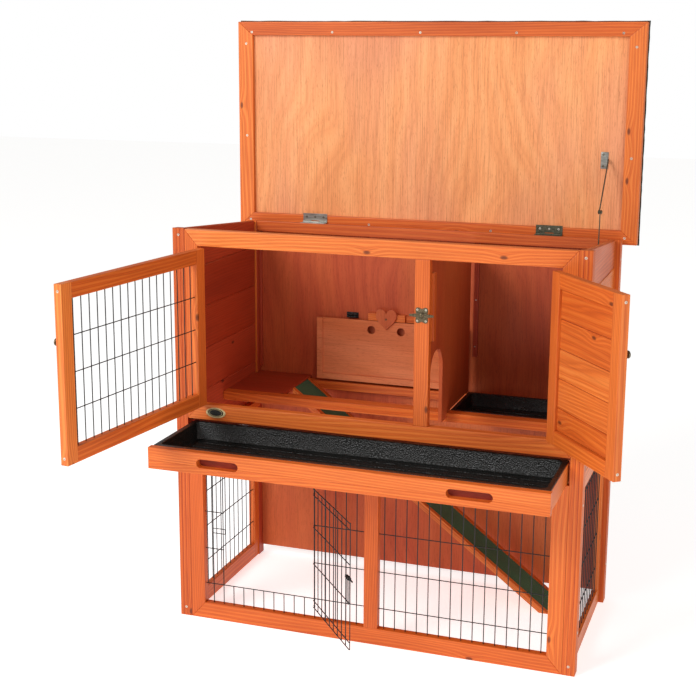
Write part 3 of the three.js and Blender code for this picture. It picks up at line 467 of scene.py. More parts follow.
def put(name, shapes, finish, body, *stands_for, sharp=35, inner=None, slot=None):
    """Join shapes into one object, finish it, and let it ride on its body.
    inner=(finish, direction) gives another finish to the faces that look that way."""
    verts, faces, grain, tone, smooth = [], [], [], [], []
    for s in shapes:
        start = len(verts)
        verts += s["verts"]
        faces += [[i + start for i in f] for f in s["faces"]]
        grain += s["grain"]
        tone += s["tone"]
        smooth += [s["smooth"]] * len(s["faces"])
    mesh = bpy.data.meshes.new(name)
    mesh.from_pydata([tuple(v) for v in verts], [], faces)
    along = mesh.attributes.new("grain", "FLOAT_VECTOR", "POINT")
    along.data.foreach_set("vector", [c for g in grain for c in g])
    mesh.attributes.new("tone", "FLOAT", "POINT").data.foreach_set("value", tone)
    mesh.polygons.foreach_set("use_smooth", smooth)
    mesh.update()
    if any(smooth):
        mesh.set_sharp_from_angle(angle=math.radians(sharp))
    thing = bpy.data.objects.new(name, mesh)
    bpy.context.scene.collection.objects.link(thing)
    mesh.materials.append(finish)
    if inner:
        mesh.materials.append(inner[0])
        way = Vector(inner[1])
        for face in mesh.polygons:
            face.material_index = int(face.normal.dot(way) > 0.3)
    if stands_for:
        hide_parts(*stands_for)
    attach(thing, body)
    return thing


print("shape helpers ready")

# %% [markdown]
# ## Rails and stiles
# The four posts and the mitred front frames are single sticks in the frame already, cut to the right
# angles. Modelling the frames again would only risk their fit. So each stile and rail is planed: its
# triangles are joined back into flat faces, its edges eased, and its grain set along its length.

# %% The body's sticks
body = "hutch_body"
upright = [f"{level}_{side}_stile" for level in ("upper", "lower") for side in ("left", "right", "centre")]
level_sticks = ["top_front_rail", "middle_front_rail", "bottom_front_rail", "lower_top_rail"]
for name in upright:
    put(name + "_wood", [planed(name, "z", 0.0016)], pine, body, name)
# The top rail's tone runs from pale at its left end to deeper at its right: a painted highlight. The middle
# rail keeps one even tone.
pale = {"top_front_rail": (0.98, 0.5), "middle_front_rail": (0.62, 0.62)}
for name in level_sticks:
    stick = planed(name, "x", 0.0016)
    if name in pale:
        left, right = pale[name]
        stick["tone"] = [left + (right - left) * (v.x + 0.4875) / 0.975 for v in stick["verts"]]
    put(name + "_wood", [stick], pine, body, name)
inner_sticks = {"back_top_rail": "x", "cross_rail": "x", "rear_ledge_rail": "x", "hole_ledge": "x",
                "divider_batten": "z", "flap_cleat": "x"}
for name, along in inner_sticks.items():
    put(name + "_wood", [planed(name, along)], pine, body, name)
print("sticks", len(upright) + len(level_sticks) + len(inner_sticks))

# %% [markdown]
# ## Grooved posts
# The posts carry two fine grooves down each outer face, a cheap machine detail that catches shade. A
# groove can't come from an eased box, so each post is drawn as its cross-section, notches included,
# and pushed upwards. Its top is then sheared to the slope of the roof.

# %% Posts
def grooved(name, sign_x, sign_y):
    lo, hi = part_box(name)
    w = hi.x - lo.x
    notch_w, notch_d = 0.0009, 0.0011
    outline = []
    for x, y, step_x, step_y in ((0, 0, 1, 0), (w, 0, 0, 1), (w, w, -1, 0), (0, w, 0, -1)):
        start, way, into = Vector((x, y)), Vector((step_x, step_y)), Vector((-step_y, step_x))
        outline.append(start)
        outward = (way.y == 0 and into.y * sign_y < 0) or (way.x == 0 and into.x * sign_x < 0)
        for share in (0.34, 0.66) if outward else ():
            middle = start + way * w * share
            outline += [middle - way * notch_w, middle + into * notch_d, middle + way * notch_w]
    post = prism(
        [(p.x, p.y) for p in outline], hi.z - lo.z, Matrix.Translation(lo), "w", ease=0.0007, steps=1
    )
    for v in post["verts"]:
        if v.z > hi.z - 0.01:
            v.z -= (v.y - lo.y) * roof_fall
    return post


for name in ("front_left_post", "front_right_post", "back_left_post", "back_right_post"):
    sign_x = -1 if "left" in name else 1
    sign_y = -1 if "front" in name else 1
    # The posts' faces towards the inside take the darker pine: painted shade.
    put(
        name + "_wood", [grooved(name, sign_x, sign_y)], pine, body, name,
        inner=(pine_painted_shade, (-sign_x, 0, 0))
    )
print("posts grooved")

# %% [markdown]
# ## Side walls
# Each wall is five boards with chamfered meeting edges. The frame holds them as one grooved slab. Here
# they are five separate boards, so that every board has its own grain and its own depth of stain, and
# the groove between two is a true V. The top board follows the slope of the roof.

# %% Side boards
board_count, board_top = 5, 0.964
for hand in ("left", "right"):
    lo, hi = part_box(hand + "_side_boards")
    front_top = hi.z
    back_top = front_top - (hi.y - lo.y) * roof_fall
    step = (board_top - lo.z) / board_count
    boards = []
    for i in range(board_count):
        z0, z1 = lo.z + i * step, lo.z + (i + 1) * step
        if i < board_count - 1:
            outline = [(lo.y, z0), (hi.y, z0), (hi.y, z1), (lo.y, z1)]
        else:
            outline = [(lo.y, z0), (hi.y, z0), (hi.y, back_top), (lo.y, front_top)]
        if i == board_count - 2:
            outline = [(lo.y, z0), (hi.y, z0), (hi.y, min(z1, back_top)), (lo.y, z1)]
        place = axes((lo.x, 0, 0), (0, 1, 0), (0, 0, 1))
        boards.append(prism(outline, hi.x - lo.x, place, "u", ease=0.0026, steps=1))
    # The boards' faces towards the inside take the darker pine: painted shade.
    inward = (1, 0, 0) if hand == "left" else (-1, 0, 0)
    put(hand + "_wall_boards", boards, pine, body, hand + "_side_boards", inner=(pine_painted_shade, inward))
print("wall boards are", round(step / mm), "mm high")

# %% [markdown]
# ## Frames of the run's sides
# Below the boards each side has an open frame: two stiles, and two wide rails butted between them, with
# a runner along the top that carries the drawer. In the frame this is one solid. Separate sticks show
# the butt joints, and let the grain turn at each corner.

# %% Side frames
run_stile, run_rail = 0.022, 0.040
for hand, sign in (("left", -1), ("right", 1)):
    lo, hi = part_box(hand + "_run_frame")
    outer = lo.x if sign < 0 else hi.x
    inner = outer - sign * 0.014
    x0, x1 = min(outer, inner), max(outer, inner)
    ledge = sorted((inner, inner - sign * 0.009))
    sticks = [
        block((x0, lo.y, lo.z), (x1, lo.y + run_stile, hi.z), "z"),
        block((x0, hi.y - run_stile, lo.z), (x1, hi.y, hi.z), "z"),
        block((x0, lo.y + run_stile, lo.z), (x1, hi.y - run_stile, lo.z + run_rail), "y"),
        block((x0, lo.y + run_stile, hi.z - run_rail), (x1, hi.y - run_stile, hi.z), "y"),
        block((ledge[0], lo.y, hi.z - 0.018), (ledge[1], hi.y, hi.z), "y"),
    ]
    put(hand + "_run_sticks", sticks, pine, body, hand + "_run_frame")
print("side frames done")

# %% [markdown]
# ## Plywood panels
# The back, the floor and the divider are thin plywood. Its veneer is peeled from the log, so its figure
# is wide and slow, with short dark flecks, and it is paler than the pine. The back and the divider take
# that figure; the floor takes the darker pine, as painted shade. The panels keep the shapes of
# the frame, with an arch through the divider, and only their edges are eased.

# %% Panels
put("back_sheet", [planed("back_panel", "z", 0.0006, tone=0.5)], back_ply, body, "back_panel")
# The floor inside the hutch takes the darker pine: painted shade.
put(
    "floor_sheet", [planed("floor_board", "x", 0.0008, tone=0.55)], pine_painted_shade, body, "floor_board",
    slot="plywood"
)
put("divider_sheet", [planed("divider_panel", "z", 0.001, tone=0.3)], back_ply, body, "divider_panel")
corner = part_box("back_left_post")[1]
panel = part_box("back_panel")[0]
roof_low, floor_top = 0.900, 0.535
battens = [
    block((corner.x, panel.y - 0.010, floor_top), (corner.x + 0.007, panel.y, roof_low), "z", tone=0.75),
    block((0.127, panel.y - 0.008, 0.608), (0.139, panel.y, roof_low), "z", tone=0.8),
    block((-0.4575, 0.0102, 0.4985), (0.4575, 0.020, 0.508), "x"),
]
# The corner battens and the strip along the floor's edge take the darker pine: painted shade.
put("wall_battens", battens, pine_painted_shade, body)
cleat_end = block((-0.049, panel.y - 0.010, 0.683), (-0.024, panel.y, 0.700), "x")
put("cleat_end", [cleat_end], pine, body)
print("panels and", len(battens), "battens")

# %% [markdown]
# ## Ramp
# The ramp is a board with a strip along each side and green felt between them, for grip. All four lie
# along one slope, so the outlines are drawn in the plane of the side view and turned into the slope's
# own directions, which keeps the grain running down the ramp.

# %% Ramp
ramp_lo, ramp_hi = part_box("ramp_board")
ramp_top, ramp_x0, ramp_x1 = 0.512, ramp_lo.x, 0.362
angle = math.atan2(ramp_top, ramp_x1 - ramp_x0)
down = Vector((math.cos(angle), 0, -math.sin(angle)))
out = Vector((math.sin(angle), 0, math.cos(angle)))


def slab(low, high, y0, y1, short=0.0, **more):
    drop = lambda h: h / math.cos(angle)
    run = lambda h: h / math.sin(angle)
    lift = short * math.tan(angle)
    corners = [(ramp_x0, ramp_top + drop(low)), (ramp_x1 + run(low) - short, lift),
               (ramp_x1 + run(high) - short, lift), (ramp_x0, ramp_top + drop(high))]
    start = Vector((ramp_x0, y1, ramp_top))
    flat = [(Vector((x, y1, z)) - start) for x, z in corners]
    outline = [(p.dot(down), p.dot(out)) for p in flat]
    return prism(outline, y1 - y0, axes(start, down, out), "u", **more)


strip = 0.014
y0, y1 = ramp_lo.y, ramp_hi.y
ramp_sticks = [
    slab(-0.010, 0.0, y0, y1),
    slab(0.0, 0.005, y0, y0 + strip, ease=0.001),
    slab(0.0, 0.005, y1 - strip, y1, ease=0.001),
]
put("ramp_sticks", ramp_sticks, pine, body, "ramp_board")
nap = slab(0.0003, 0.003, y0 + strip + 0.0003, y1 - strip - 0.0003, short=0.001, ease=0.0006)
put("ramp_grip", [nap], ramp_felt, body, "ramp_felt")
print("ramp slopes at", round(math.degrees(angle), 1), "degrees")

# %% [markdown]
# ## Formed plastic trays
# Both trays are thin sheet drawn over a mould, so every corner is round and the walls lean a little. A
# box with a hole would miss that. Instead a rounded rectangle is lofted: out at the rim, in over its
# edge, down the wall, round onto the floor, and back up on the underside, to give one closed skin.

# %% Trays
def ring_loop(x0, x1, y0, y1, inset, z, radius, turns=5):
    loop = []
    x0, x1, y0, y1 = x0 + inset, x1 - inset, y0 + inset, y1 - inset
    r = max(radius, 0.001)
    left, right, near, far = x0 + r, x1 - r, y0 + r, y1 - r
    for cx, cy, start in ((right, far, 0), (left, far, 90), (left, near, 180), (right, near, 270)):
        for k in range(turns + 1):
            a = math.radians(start + 90 * k / turns)
            loop.append(Vector((cx + r * math.cos(a), cy + r * math.sin(a), z)))
    return loop


def formed_tray(name, rim, wall, ribs):
    lo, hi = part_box(name)
    top, depth = hi.z, hi.z - lo.z
    lean = 0.004
    base, foot = top - depth, rim + lean
    steps = [
        (0.0, top - wall, 0.004), (0.0, top - 0.0008, 0.004), (0.0008, top, 0.004),
        (rim - 0.0012, top, 0.010), (rim, top - 0.0012, 0.011), (foot, base + wall + 0.004, 0.013),
        (foot + 0.0012, base + wall + 0.0012, 0.013), (foot + 0.004, base + wall, 0.012),
    ]
    under = [
        (foot + 0.003, base, 0.012), (foot - 0.002, base + 0.004, 0.013),
        (rim - wall + 0.0004, top - wall, 0.011)
    ]
    loops = [ring_loop(lo.x, hi.x, lo.y, hi.y, *s) for s in steps]
    below = [ring_loop(lo.x, hi.x, lo.y, hi.y, *s) for s in under]
    n = len(loops[0])
    verts = [v for loop in loops + below[::-1] for v in loop]
    rows = len(loops)
    faces = stitch(range(rows), n)
    faces.append([(rows - 1) * n + k for k in range(n)])
    chain = [0] + list(range(rows, rows + len(below)))
    for a, b in zip(chain, chain[1:]):
        faces += stitch([b, a], n)
    faces.append([chain[-1] * n + k for k in range(n)][::-1])
    shell = smooth_shape(verts, faces)
    pitch = (hi.y - lo.y - 2 * rim) / (ribs + 1)
    floor = base + wall
    bars = [block((lo.x + rim + 0.016, lo.y + rim + i * pitch - 0.002, floor - 0.0005),
                  (hi.x - rim - 0.016, lo.y + rim + i * pitch + 0.002, floor + 0.0022), "x", ease=0.0011)
            for i in range(1, ribs + 1)]
    return [shell] + bars


put("litter_tray", formed_tray("drawer_tray", 0.012, 0.0025, 5), plastic, "drawer", "drawer_tray")
put("nest_tray", formed_tray("rear_tray", 0.009, 0.0025, 3), plastic, body, "rear_tray")
print("trays formed")

# %% [markdown]
# ## Drawer
# The drawer's front is two strips glued edge to edge, with a rounded finger slot at each side cut
# across the glue line. To show that line as a real joint, the front is drawn as an upper and a lower
# strip, each with its share of the slots in its outline. Behind it are plain side boards and a back.

# %% Drawer
front_lo, front_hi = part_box("drawer_front")
slot_z = (front_lo.z + front_hi.z) / 2
glue_z = slot_z - 0.006
slot_r, slot_half = 0.010, 0.050


def notch(x, from_turn, to_turn, count=8):
    points = []
    reach = slot_half - slot_r
    for cx, a0, a1 in ((x - reach, from_turn, to_turn), (x + reach, 180 - to_turn, 180 - from_turn)):
        for k in range(count + 1):
            a = math.radians(a0 + (a1 - a0) * k / count)
            points.append((cx + slot_r * math.cos(a), slot_z + slot_r * math.sin(a)))
    return points


def strip_outline(z_far, low):
    edge = [(front_lo.x, glue_z)]
    meet = math.degrees(math.asin(0.6))
    for x in (-0.286, 0.286):
        edge += notch(x, 180 + meet, 270) if low else notch(x, 180 + meet, 90)
    edge.append((front_hi.x, glue_z))
    return edge + [(front_hi.x, z_far), (front_lo.x, z_far)]


thick = front_hi.y - front_lo.y
facing = axes((0, front_hi.y, 0), (1, 0, 0), (0, 0, 1))
strips = [
    prism(strip_outline(front_hi.z, False), thick, facing, "u", ease=0.0009, tone=0.6),
    prism(strip_outline(front_lo.z, True), thick, facing, "u", ease=0.0009, tone=0.5),
]
put("drawer_face", strips, pine, "drawer", "drawer_front")
lo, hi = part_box("drawer_box")
side_t, base_t = 0.009, 0.004
boards = [
    block((lo.x, lo.y, lo.z), (lo.x + side_t, hi.y, hi.z), "y"),
    block((hi.x - side_t, lo.y, lo.z), (hi.x, hi.y, hi.z), "y"),
    block((lo.x + side_t, hi.y - side_t, lo.z), (hi.x - side_t, hi.y, hi.z), "x"),
    block(
        (lo.x + side_t, lo.y + side_t, lo.z), (hi.x - side_t, hi.y - side_t, lo.z + base_t), "x",
        ease=0.0006
    ),
]
# The board seen through the finger slots is dark red: painted shade inside the slots.
backing = block((lo.x + side_t, lo.y, lo.z), (hi.x - side_t, lo.y + side_t, hi.z), "x", ease=0.0006)
put("drawer_backing", [backing], slot_painted_shade, "drawer")
put("drawer_boards", boards, pine, "drawer", "drawer_box")
print("drawer face", round((front_hi.x - front_lo.x) / mm), "mm wide")

# %% [markdown]
# ## Doors
# Each door is two full-height stiles with rails butted between them. A door is easiest to build closed,
# as it was on the bench, and then swung about its pin by one matrix. Its boards or wires are built in
# the same closed space, so they can't drift out of its plane.

# %% Door frames
def hung(name, degrees):
    pin = Vector(joint[name]["pos_m"])
    pin.z = 0
    return Matrix.Translation(pin) @ Matrix.Rotation(math.radians(degrees), 4, "Z")


gap, member, door_t, proud = 0.0025, 0.033, 0.018, 0.006
door_lo, door_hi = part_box("left_door_frame")
sill, head = door_lo.z, door_hi.z
post_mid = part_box("upper_centre_stile")
doors = {"left": {"sign": 1, "open": -97}, "right": {"sign": -1, "open": 128}}
for hand, door in doors.items():
    edge = post_mid[0].x if hand == "left" else post_mid[1].x
    door["width"] = abs(edge - joint[hand + "_door_hinge"]["pos_m"][0]) - 2 * gap
for hand, door in doors.items():
    door["place"] = hung(hand + "_door_hinge", door["open"])
    s, w = door["sign"], door["width"]

    def span(a, b, s=s):
        return sorted((s * (gap + a), s * (gap + b)))

    def part(a, b, z0, z1, along, ya=proud, yb=proud + door_t, door=door, **more):
        x0, x1 = span(a, b)
        return block((x0, ya, z0), (x1, yb, z1), along, door["place"], **more)

    door["part"] = part
    # The left door's free stile is raised to a pale tone: a painted highlight.
    pale = 0.95 if hand == "left" else 0.7
    sticks = [
        part(0, member, sill, head, "z", tone=0.55),
        part(w - member, w, sill, head, "z", tone=pale),
        part(member, w - member, sill, sill + member, "x", tone=0.5),
        part(member, w - member, head - member, head, "x", tone=0.4),
    ]
    put(hand + "_door_sticks", sticks, pine, hand + "_door", hand + "_door_frame")
right = doors["right"]
z_top, z_low = head - member - 0.0003, sill + member + 0.0003
from_x, to_x, board_h = member + 0.0003, right["width"] - member - 0.0003, 0.064
boards = []
z = z_top
while z > z_low + 0.001:
    z_next = max(z - board_h, z_low)
    boards.append(right["part"](from_x, to_x, z_next + 0.0006, z - 0.0006, "x",
                                ya=proud + 0.004, yb=proud + 0.012, ease=0.0018, steps=1))
    z = z_next
put("right_door_planks", boards, pine, "right_door", "right_door_boards")
# A dark strip behind the gaps between the planks: painted shade in the gaps.
tongue = right["part"](from_x, to_x, z_low, z_top, "x", ya=proud + 0.0072, yb=proud + 0.0088, ease=0.0)
put("right_door_tongues", [tongue], slot_painted_shade, "right_door")
print("door widths", [round(d["width"] / mm) for d in doors.values()], "boards", len(boards))

# %% [markdown]
# ## Lid
# The lid is a mitred frame round a plywood panel, with roofing felt over the outside. It is drawn lying
# level, with its pin at the origin, and a quarter turn stands it up behind the body. Four mitred sticks
# show their joint lines and let the grain follow each side.

# %% Lid
lid_pin = Vector(joint["lid_hinge"]["pos_m"])
lid_place = Matrix.Translation(lid_pin) @ Matrix.Rotation(math.radians(-90), 4, "X")
flat_lid = lid_place.inverted()
corners = [flat_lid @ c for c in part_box("lid_frame")]
lx = max(c.x for c in corners)
ly0, ly1 = sorted(c.y for c in corners)
lz0, lz1 = sorted(c.z for c in corners)
sx, sy = 0.040, 0.034
ix, iy0, iy1 = lx - sx, ly0 + sy, ly1 - sy
on_lid = lid_place @ Matrix.Translation((0, 0, lz0))
mitred = [
    ([(-lx, ly0), (lx, ly0), (ix, iy0), (-ix, iy0)], "u", 0.3),
    ([(lx, ly1), (-lx, ly1), (-ix, iy1), (ix, iy1)], "u", 0.5),
    ([(-lx, ly1), (-lx, ly0), (-ix, iy0), (-ix, iy1)], "v", 0.8),
    ([(lx, ly0), (lx, ly1), (ix, iy1), (ix, iy0)], "v", 0.75),
]
put("lid_sticks", [prism(o, lz1 - lz0, on_lid, g, tone=t) for o, g, t in mitred], pine, "lid", "lid_frame")
recess = 0.010
sheet = prism([(-ix, iy0), (ix, iy0), (ix, iy1), (-ix, iy1)], lz1 - lz0 - recess - 0.0003,
              on_lid @ Matrix.Translation((0, 0, recess)), "v", ease=0.0003, tone=0.62)
put("lid_sheet", [sheet], plywood, "lid", "lid_panel")
f_lo, f_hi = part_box("lid_felt")
felt_corners = [flat_lid @ c for c in (f_lo, f_hi)]
fx = max(c.x for c in felt_corners)
fy0, fy1 = sorted(c.y for c in felt_corners)
fz0, fz1 = sorted(c.z for c in felt_corners)
edge = [(-fx, fy0), (fx, fy0), (fx, fy1), (-fx, fy1)]
wavy = []
for (ax, ay), (bx, by) in zip(edge, edge[1:] + edge[:1]):
    for k in range(40):
        t = k / 40
        pull = 0.0 if k == 0 else dice.uniform(0, 0.0012)
        x, y = ax + (bx - ax) * t, ay + (by - ay) * t
        on_side, on_end = abs(ay - by) > 1e-6, abs(ax - bx) > 1e-6
        wavy.append((x - math.copysign(pull, x) * on_side, y - math.copysign(pull, y) * on_end))
felt = prism(wavy, fz1 - fz0, lid_place @ Matrix.Translation((0, 0, fz0)), "u", ease=0.0)
put("lid_felt_sheet", [felt], roof_felt, "lid", "lid_felt")
print("lid", round(2 * lx / mm), "x", round((ly1 - ly0) / mm), "mm")

# %% [markdown]
# ## Welded wire
# The meshes are round wire: uprights in front, levels welded on behind, a wire's thickness apart. The
# frame's wires are square and stop at the wood. Here each one is a round rod that runs a little way
# into a rebate, and the wire door has its hinge eyes, its coil spring and its bail.

# %% Wire panels
wire_r, pitch = 0.00120, 0.0263


def spread(a, b):
    count = round((b - a) / pitch)
    return [a + (i + 0.5) * (b - a) / count for i in range(count)]


def mesh_of(uprights, levels, place, lap=0.0009):
    ends = [((x, -lap, z0), (x, -lap, z1)) for x, z0, z1 in uprights]
    ends += [((x0, lap, z), (x1, lap, z)) for z, x0, x1 in levels]
    return [rod([place @ Vector(a), place @ Vector(b)], wire_r, 8) for a, b in ends]


here = Matrix.Identity(4)
rows, header = [0.089, 0.180, 0.274], 0.372
bay_lo, bay_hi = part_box("right_bay_mesh")
ups = [(x, bay_lo.z, bay_hi.z) for x in spread(bay_lo.x, bay_hi.x)]
right_bay = mesh_of(ups, [(z, bay_lo.x, bay_hi.x) for z in rows + [header]], here)
put("right_bay_wires", right_bay, wire_coat, body, "right_bay_mesh")

bay_lo, bay_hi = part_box("left_bay_mesh")
first = bay_lo.x + 0.021
places = [first + i * pitch for i in range(16) if first + i * pitch < bay_hi.x - 0.002]
gate_x0, gate_x1 = places[1], places[10]
ups, levels = [], [(rows[0], bay_lo.x, bay_hi.x), (header, bay_lo.x, bay_hi.x)]
for i, x in enumerate(places):
    if 1 < i < 10:
        ups += [(x, bay_lo.z, rows[0] + wire_r), (x, header - wire_r, bay_hi.z)]
    else:
        ups.append((x, bay_lo.z, bay_hi.z))
for z in rows[1:]:
    levels += [(z, bay_lo.x, gate_x0 + wire_r), (z, gate_x1 - wire_r, bay_hi.x)]
keeper_z, keep_y = 0.228, -0.0024
keeper = []
for dz in (-0.006, 0.006):
    curl = [(gate_x0 - 0.024, keep_y, keeper_z + dz), (gate_x0 + 0.004, keep_y, keeper_z + dz)]
    for a in (0.5, 1.0, 1.5, 2.0, 2.6):
        inward = dz * (1 - 0.45 * (1 - math.cos(a)))
        curl.append((gate_x0 + 0.004 + 0.0028 * math.sin(a), keep_y, keeper_z + inward))
    keeper.append(rod(curl, wire_r * 0.9, 8))
put("left_bay_wires", mesh_of(ups, levels, here) + keeper, wire_coat, body, "left_bay_mesh")

for hand, sign in (("left", -1), ("right", 1)):
    lo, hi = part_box(hand + "_run_mesh")
    stand = Matrix(((0, -sign, 0, (lo.x + hi.x) / 2), (sign, 0, 0, 0), (0, 0, 1, 0), (0, 0, 0, 1)))
    a, b = sorted((sign * lo.y, sign * hi.y))
    ups = [(y, lo.z, hi.z) for y in spread(a, b)]
    levels = [(z, a, b) for z in (0.103, 0.195, 0.286, 0.378)]
    put(hand + "_run_wires", mesh_of(ups, levels, stand), wire_coat, body, hand + "_run_mesh")

left = doors["left"]
a, b = gap + member + 0.0003, gap + left["width"] - member - 0.0003
z0, z1 = sill + member, head - member
ups = [(x, z0, z1) for x in spread(a, b)]
levels = [(z0 + share * (z1 - z0), a, b) for share in (0.25, 0.5, 0.75)]
in_door = left["place"] @ Matrix.Translation((0, proud + door_t / 2, 0))
put("left_door_wires", mesh_of(ups, levels, in_door), wire_coat, "left_door", "left_door_mesh")
print("wires at", round(pitch / mm, 1), "mm")

# %% [markdown]
# ## Wire door and its spring latch
# The small door is a panel of the same wire, doubled along its top and bottom, and hung on wire eyes.
# Its latch is a bolt that slides inside a coil spring, with a long bail to pull. The spring is a real
# helix: a path of points round the bolt, swept by the same rod helper as every other wire.

# %% Wire door
gate = Matrix.Translation((gate_x1, -0.006, 0)) @ Matrix.Rotation(math.radians(130), 4, "Z")
gate_w = gate_x1 - gate_x0 + 0.003
gate_rows = [0.070, 0.087, 0.180, 0.271, 0.351, 0.366]
count = round(gate_w / pitch)
ups = [
    (-i * (gate_w - 0.002) / count, gate_rows[0] - 0.001, gate_rows[-1] + 0.001)
    for i in range(count + 1)
]
levels = [(z, -gate_w + 0.001, 0.0015) for z in gate_rows]
eyes = []
for z in gate_rows:
    turns = [2 * math.pi * k / 12 for k in range(15)]
    coil = [(0.0016 * math.cos(t), -0.0009 + 0.0022 * math.sin(t), z + 0.0006 * t) for t in turns]
    eyes.append(rod([gate @ Vector(p) for p in coil], 0.0008, 6))
put("wire_gate", mesh_of(ups, levels, gate) + eyes, wire_coat, "wire_door", "wire_door")

latch_x = -gate_w + pitch
bolt_y = -0.007
bolt = rod([gate @ Vector((latch_x + dx, bolt_y, keeper_z)) for dx in (-0.022, 0.020)], 0.0019, 12)
turns, coil_r, coil_from, coil_to = 8, 0.0036, latch_x - 0.006, latch_x + 0.014
helix = []
for k in range(turns * 14 + 1):
    t = k / (turns * 14)
    a = 2 * math.pi * turns * t
    x = coil_from + (coil_to - coil_from) * t
    helix.append(gate @ Vector((x, bolt_y + coil_r * math.cos(a), keeper_z + coil_r * math.sin(a))))
spring = rod(helix, 0.0009, 6)
bail_x0, bail_x1, bail_z = latch_x - 0.001, latch_x + 0.009, keeper_z - 0.063
bend = [(0, keeper_z), (0, bail_z + 0.004), (0.0012, bail_z + 0.001), (0.004, bail_z)]
bend = [(bail_x0 + x, z) for x, z in bend] + [(bail_x1 - x, z) for x, z in bend[::-1]]
bail = rod([gate @ Vector((x, bolt_y, z)) for x, z in bend], 0.0010, 8)
put("gate_latch", [bolt, spring, bail], wire_coat, "wire_door_latch", "wire_door_latch")
print("spring has", turns, "turns")

# %% [markdown]
# ## Screws
# A pale screw head is small, but it is what tells the eye that a frame is put together. Each head is a
# low dome with a real cross cut into it: the top is a filled ring between a circle and a cross, and the
# cross drops to its own floor. One shape is made, and then stood wherever a screw goes.

# %% Screw head
def screw(place, radius=0.0031, rise=0.0006):
    work = bmesh.new()
    sides = 24
    rims = []
    for r, h in ((radius, -0.0004), (radius, rise * 0.35), (radius * 0.86, rise)):
        rims.append([work.verts.new((r * math.cos(a), r * math.sin(a), h)) for a in around(sides)])
    for a, b in zip(rims[:-1], rims[1:]):
        for k in range(sides):
            n = (k + 1) % sides
            work.faces.new((a[k], a[n], b[n], b[k]))
    work.faces.new(rims[0][::-1])
    w, l = radius * 0.13, radius * 0.58
    arm = [(l, -w), (l, w), (w, w)]
    cross = [(x * c - y * d, x * d + y * c) for c, d in ((1, 0), (0, 1), (-1, 0), (0, -1)) for x, y in arm]
    upper = [work.verts.new((x, y, rise)) for x, y in cross]
    lower = [work.verts.new((x, y, rise - 0.0009)) for x, y in cross]
    for k in range(12):
        n = (k + 1) % 12
        work.faces.new((lower[k], lower[n], upper[n], upper[k]))
    work.faces.new(lower)
    edges = [work.edges.get((rims[2][k], rims[2][(k + 1) % sides])) for k in range(sides)]
    edges += [work.edges.get((upper[k], upper[(k + 1) % 12])) for k in range(12)]
    bmesh.ops.triangle_fill(work, edges=edges, use_beauty=True)
    shape = eased(work, place, "u", 0.0)
    shape["smooth"] = True
    return shape


def facing_place(at, outward, spin=0.0):
    """A place whose w looks outward, turned a little about it."""
    outward = Vector(outward).normalized()
    u = outward.orthogonal().normalized()
    return axes(at, u, outward.cross(u)) @ Matrix.Rotation(spin, 4, "Z")


def screws(name, body, spots, radius=0.0031, finish=screw_metal):
    shapes = [screw(facing_place(at, out, dice.uniform(0, 1.5)), radius) for at, out in spots]
    return put(name, shapes, finish, body, slot="zinc")


forward = (0, -1, 0)
front_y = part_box("front_left_post")[0].y
post_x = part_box("front_right_post")
mid_post = (post_x[0].x + post_x[1].x) / 2
spots = [((sx * mid_post, front_y, z), forward) for sx in (-1, 1) for z in (0.948, 0.022)]
spots += [
    ((sx * post_x[1].x, y, z), (sx, 0, 0))
    for sx in (-1, 1) for y in (0.005, 0.429) for z in (0.10, 0.40, 0.52, 0.70, 0.88)
]
back_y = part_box("back_panel")[1].y
spots += [((x, back_y, z), (0, 1, 0)) for x in (-0.44, -0.15, 0.15, 0.44) for z in (0.05, 0.50, 0.905)]
screws("body_screws", body, spots)
for hand, door in doors.items():
    s, w = door["sign"], door["width"]
    out = door["place"].to_3x3() @ Vector((s, 0, 0))
    ends = [
        (door["place"] @ Vector((s * (gap + w), proud + door_t / 2, z)), out)
        for z in (sill + 0.015, head - 0.015)
    ]
    screws(hand + "_door_screws", hand + "_door", ends)
look = lid_place.to_3x3() @ Vector((0, 0, -1))
spots = [(x, ly0 + 0.026) for x in (-0.482, -0.262, -0.031, 0.210, 0.465)]
spots += [
    (-0.498, ly0 + 0.055), (-0.498, ly0 + 0.29), (0.497, ly0 + 0.058), (0.497, ly0 + 0.318),
    (0.490, ly1 - 0.016)
]
spots += [(-0.490, ly1 - 0.016), (-0.16, ly1 - 0.017), (0.16, ly1 - 0.017)]
screws("lid_screws", "lid", [(lid_place @ Vector((x, y, lz0)), look) for x, y in spots])
nails = [((0.133, panel.y - 0.008, z), forward) for z in (0.635, 0.755, 0.880)]
screws("batten_nails", body, nails, radius=0.0019)
print("screws placed")

# %% [markdown]
# ## Hinges
# The lid hangs on two flat hinges whose leaves and pins are in the frame already, so they are only
# eased and screwed down. The doors' hinges are not in the frame, because the doors turn on plain axes
# there. Here each gets a barrel of five knuckles on the pin, with one leaf on the stile and one on the
# door, so that the two halves part as the door moves.

# %% Lid hinges
def leaf_of(name):
    """A lid fitting's box in the lid's own directions, and the height of its flat face."""
    points = [flat_lid @ v.co for v in frame["nodes"][name].data.vertices]
    lo = Vector([min(p[i] for p in points) for i in range(3)])
    hi = Vector([max(p[i] for p in points) for i in range(3)])
    return lo, hi, min(p.z for p in points if p.y < lo.y + 0.001)


for hand in ("left", "right"):
    for kind, rider in (("fixed", body), ("moving", "lid")):
        name = f"{hand}_lid_hinge_{kind}_leaf"
        leaf = planed(name, "x", 0.0003)
        put(name + "_metal", [leaf], zinc if hand == "left" else dull_zinc, rider, name)
    lo, hi, face = leaf_of(f"{hand}_lid_hinge_moving_leaf")
    y = lo.y + (hi.y - lo.y) * 0.36
    spots = [(lid_place @ Vector((lo.x + (hi.x - lo.x) * t, y, face)), look) for t in (0.15, 0.5, 0.85)]
    screws(
        f"{hand}_lid_hinge_screws", "lid", spots, radius=0.0026,
        finish=bronze if hand == "left" else screw_metal
    )
print("lid hinges done")

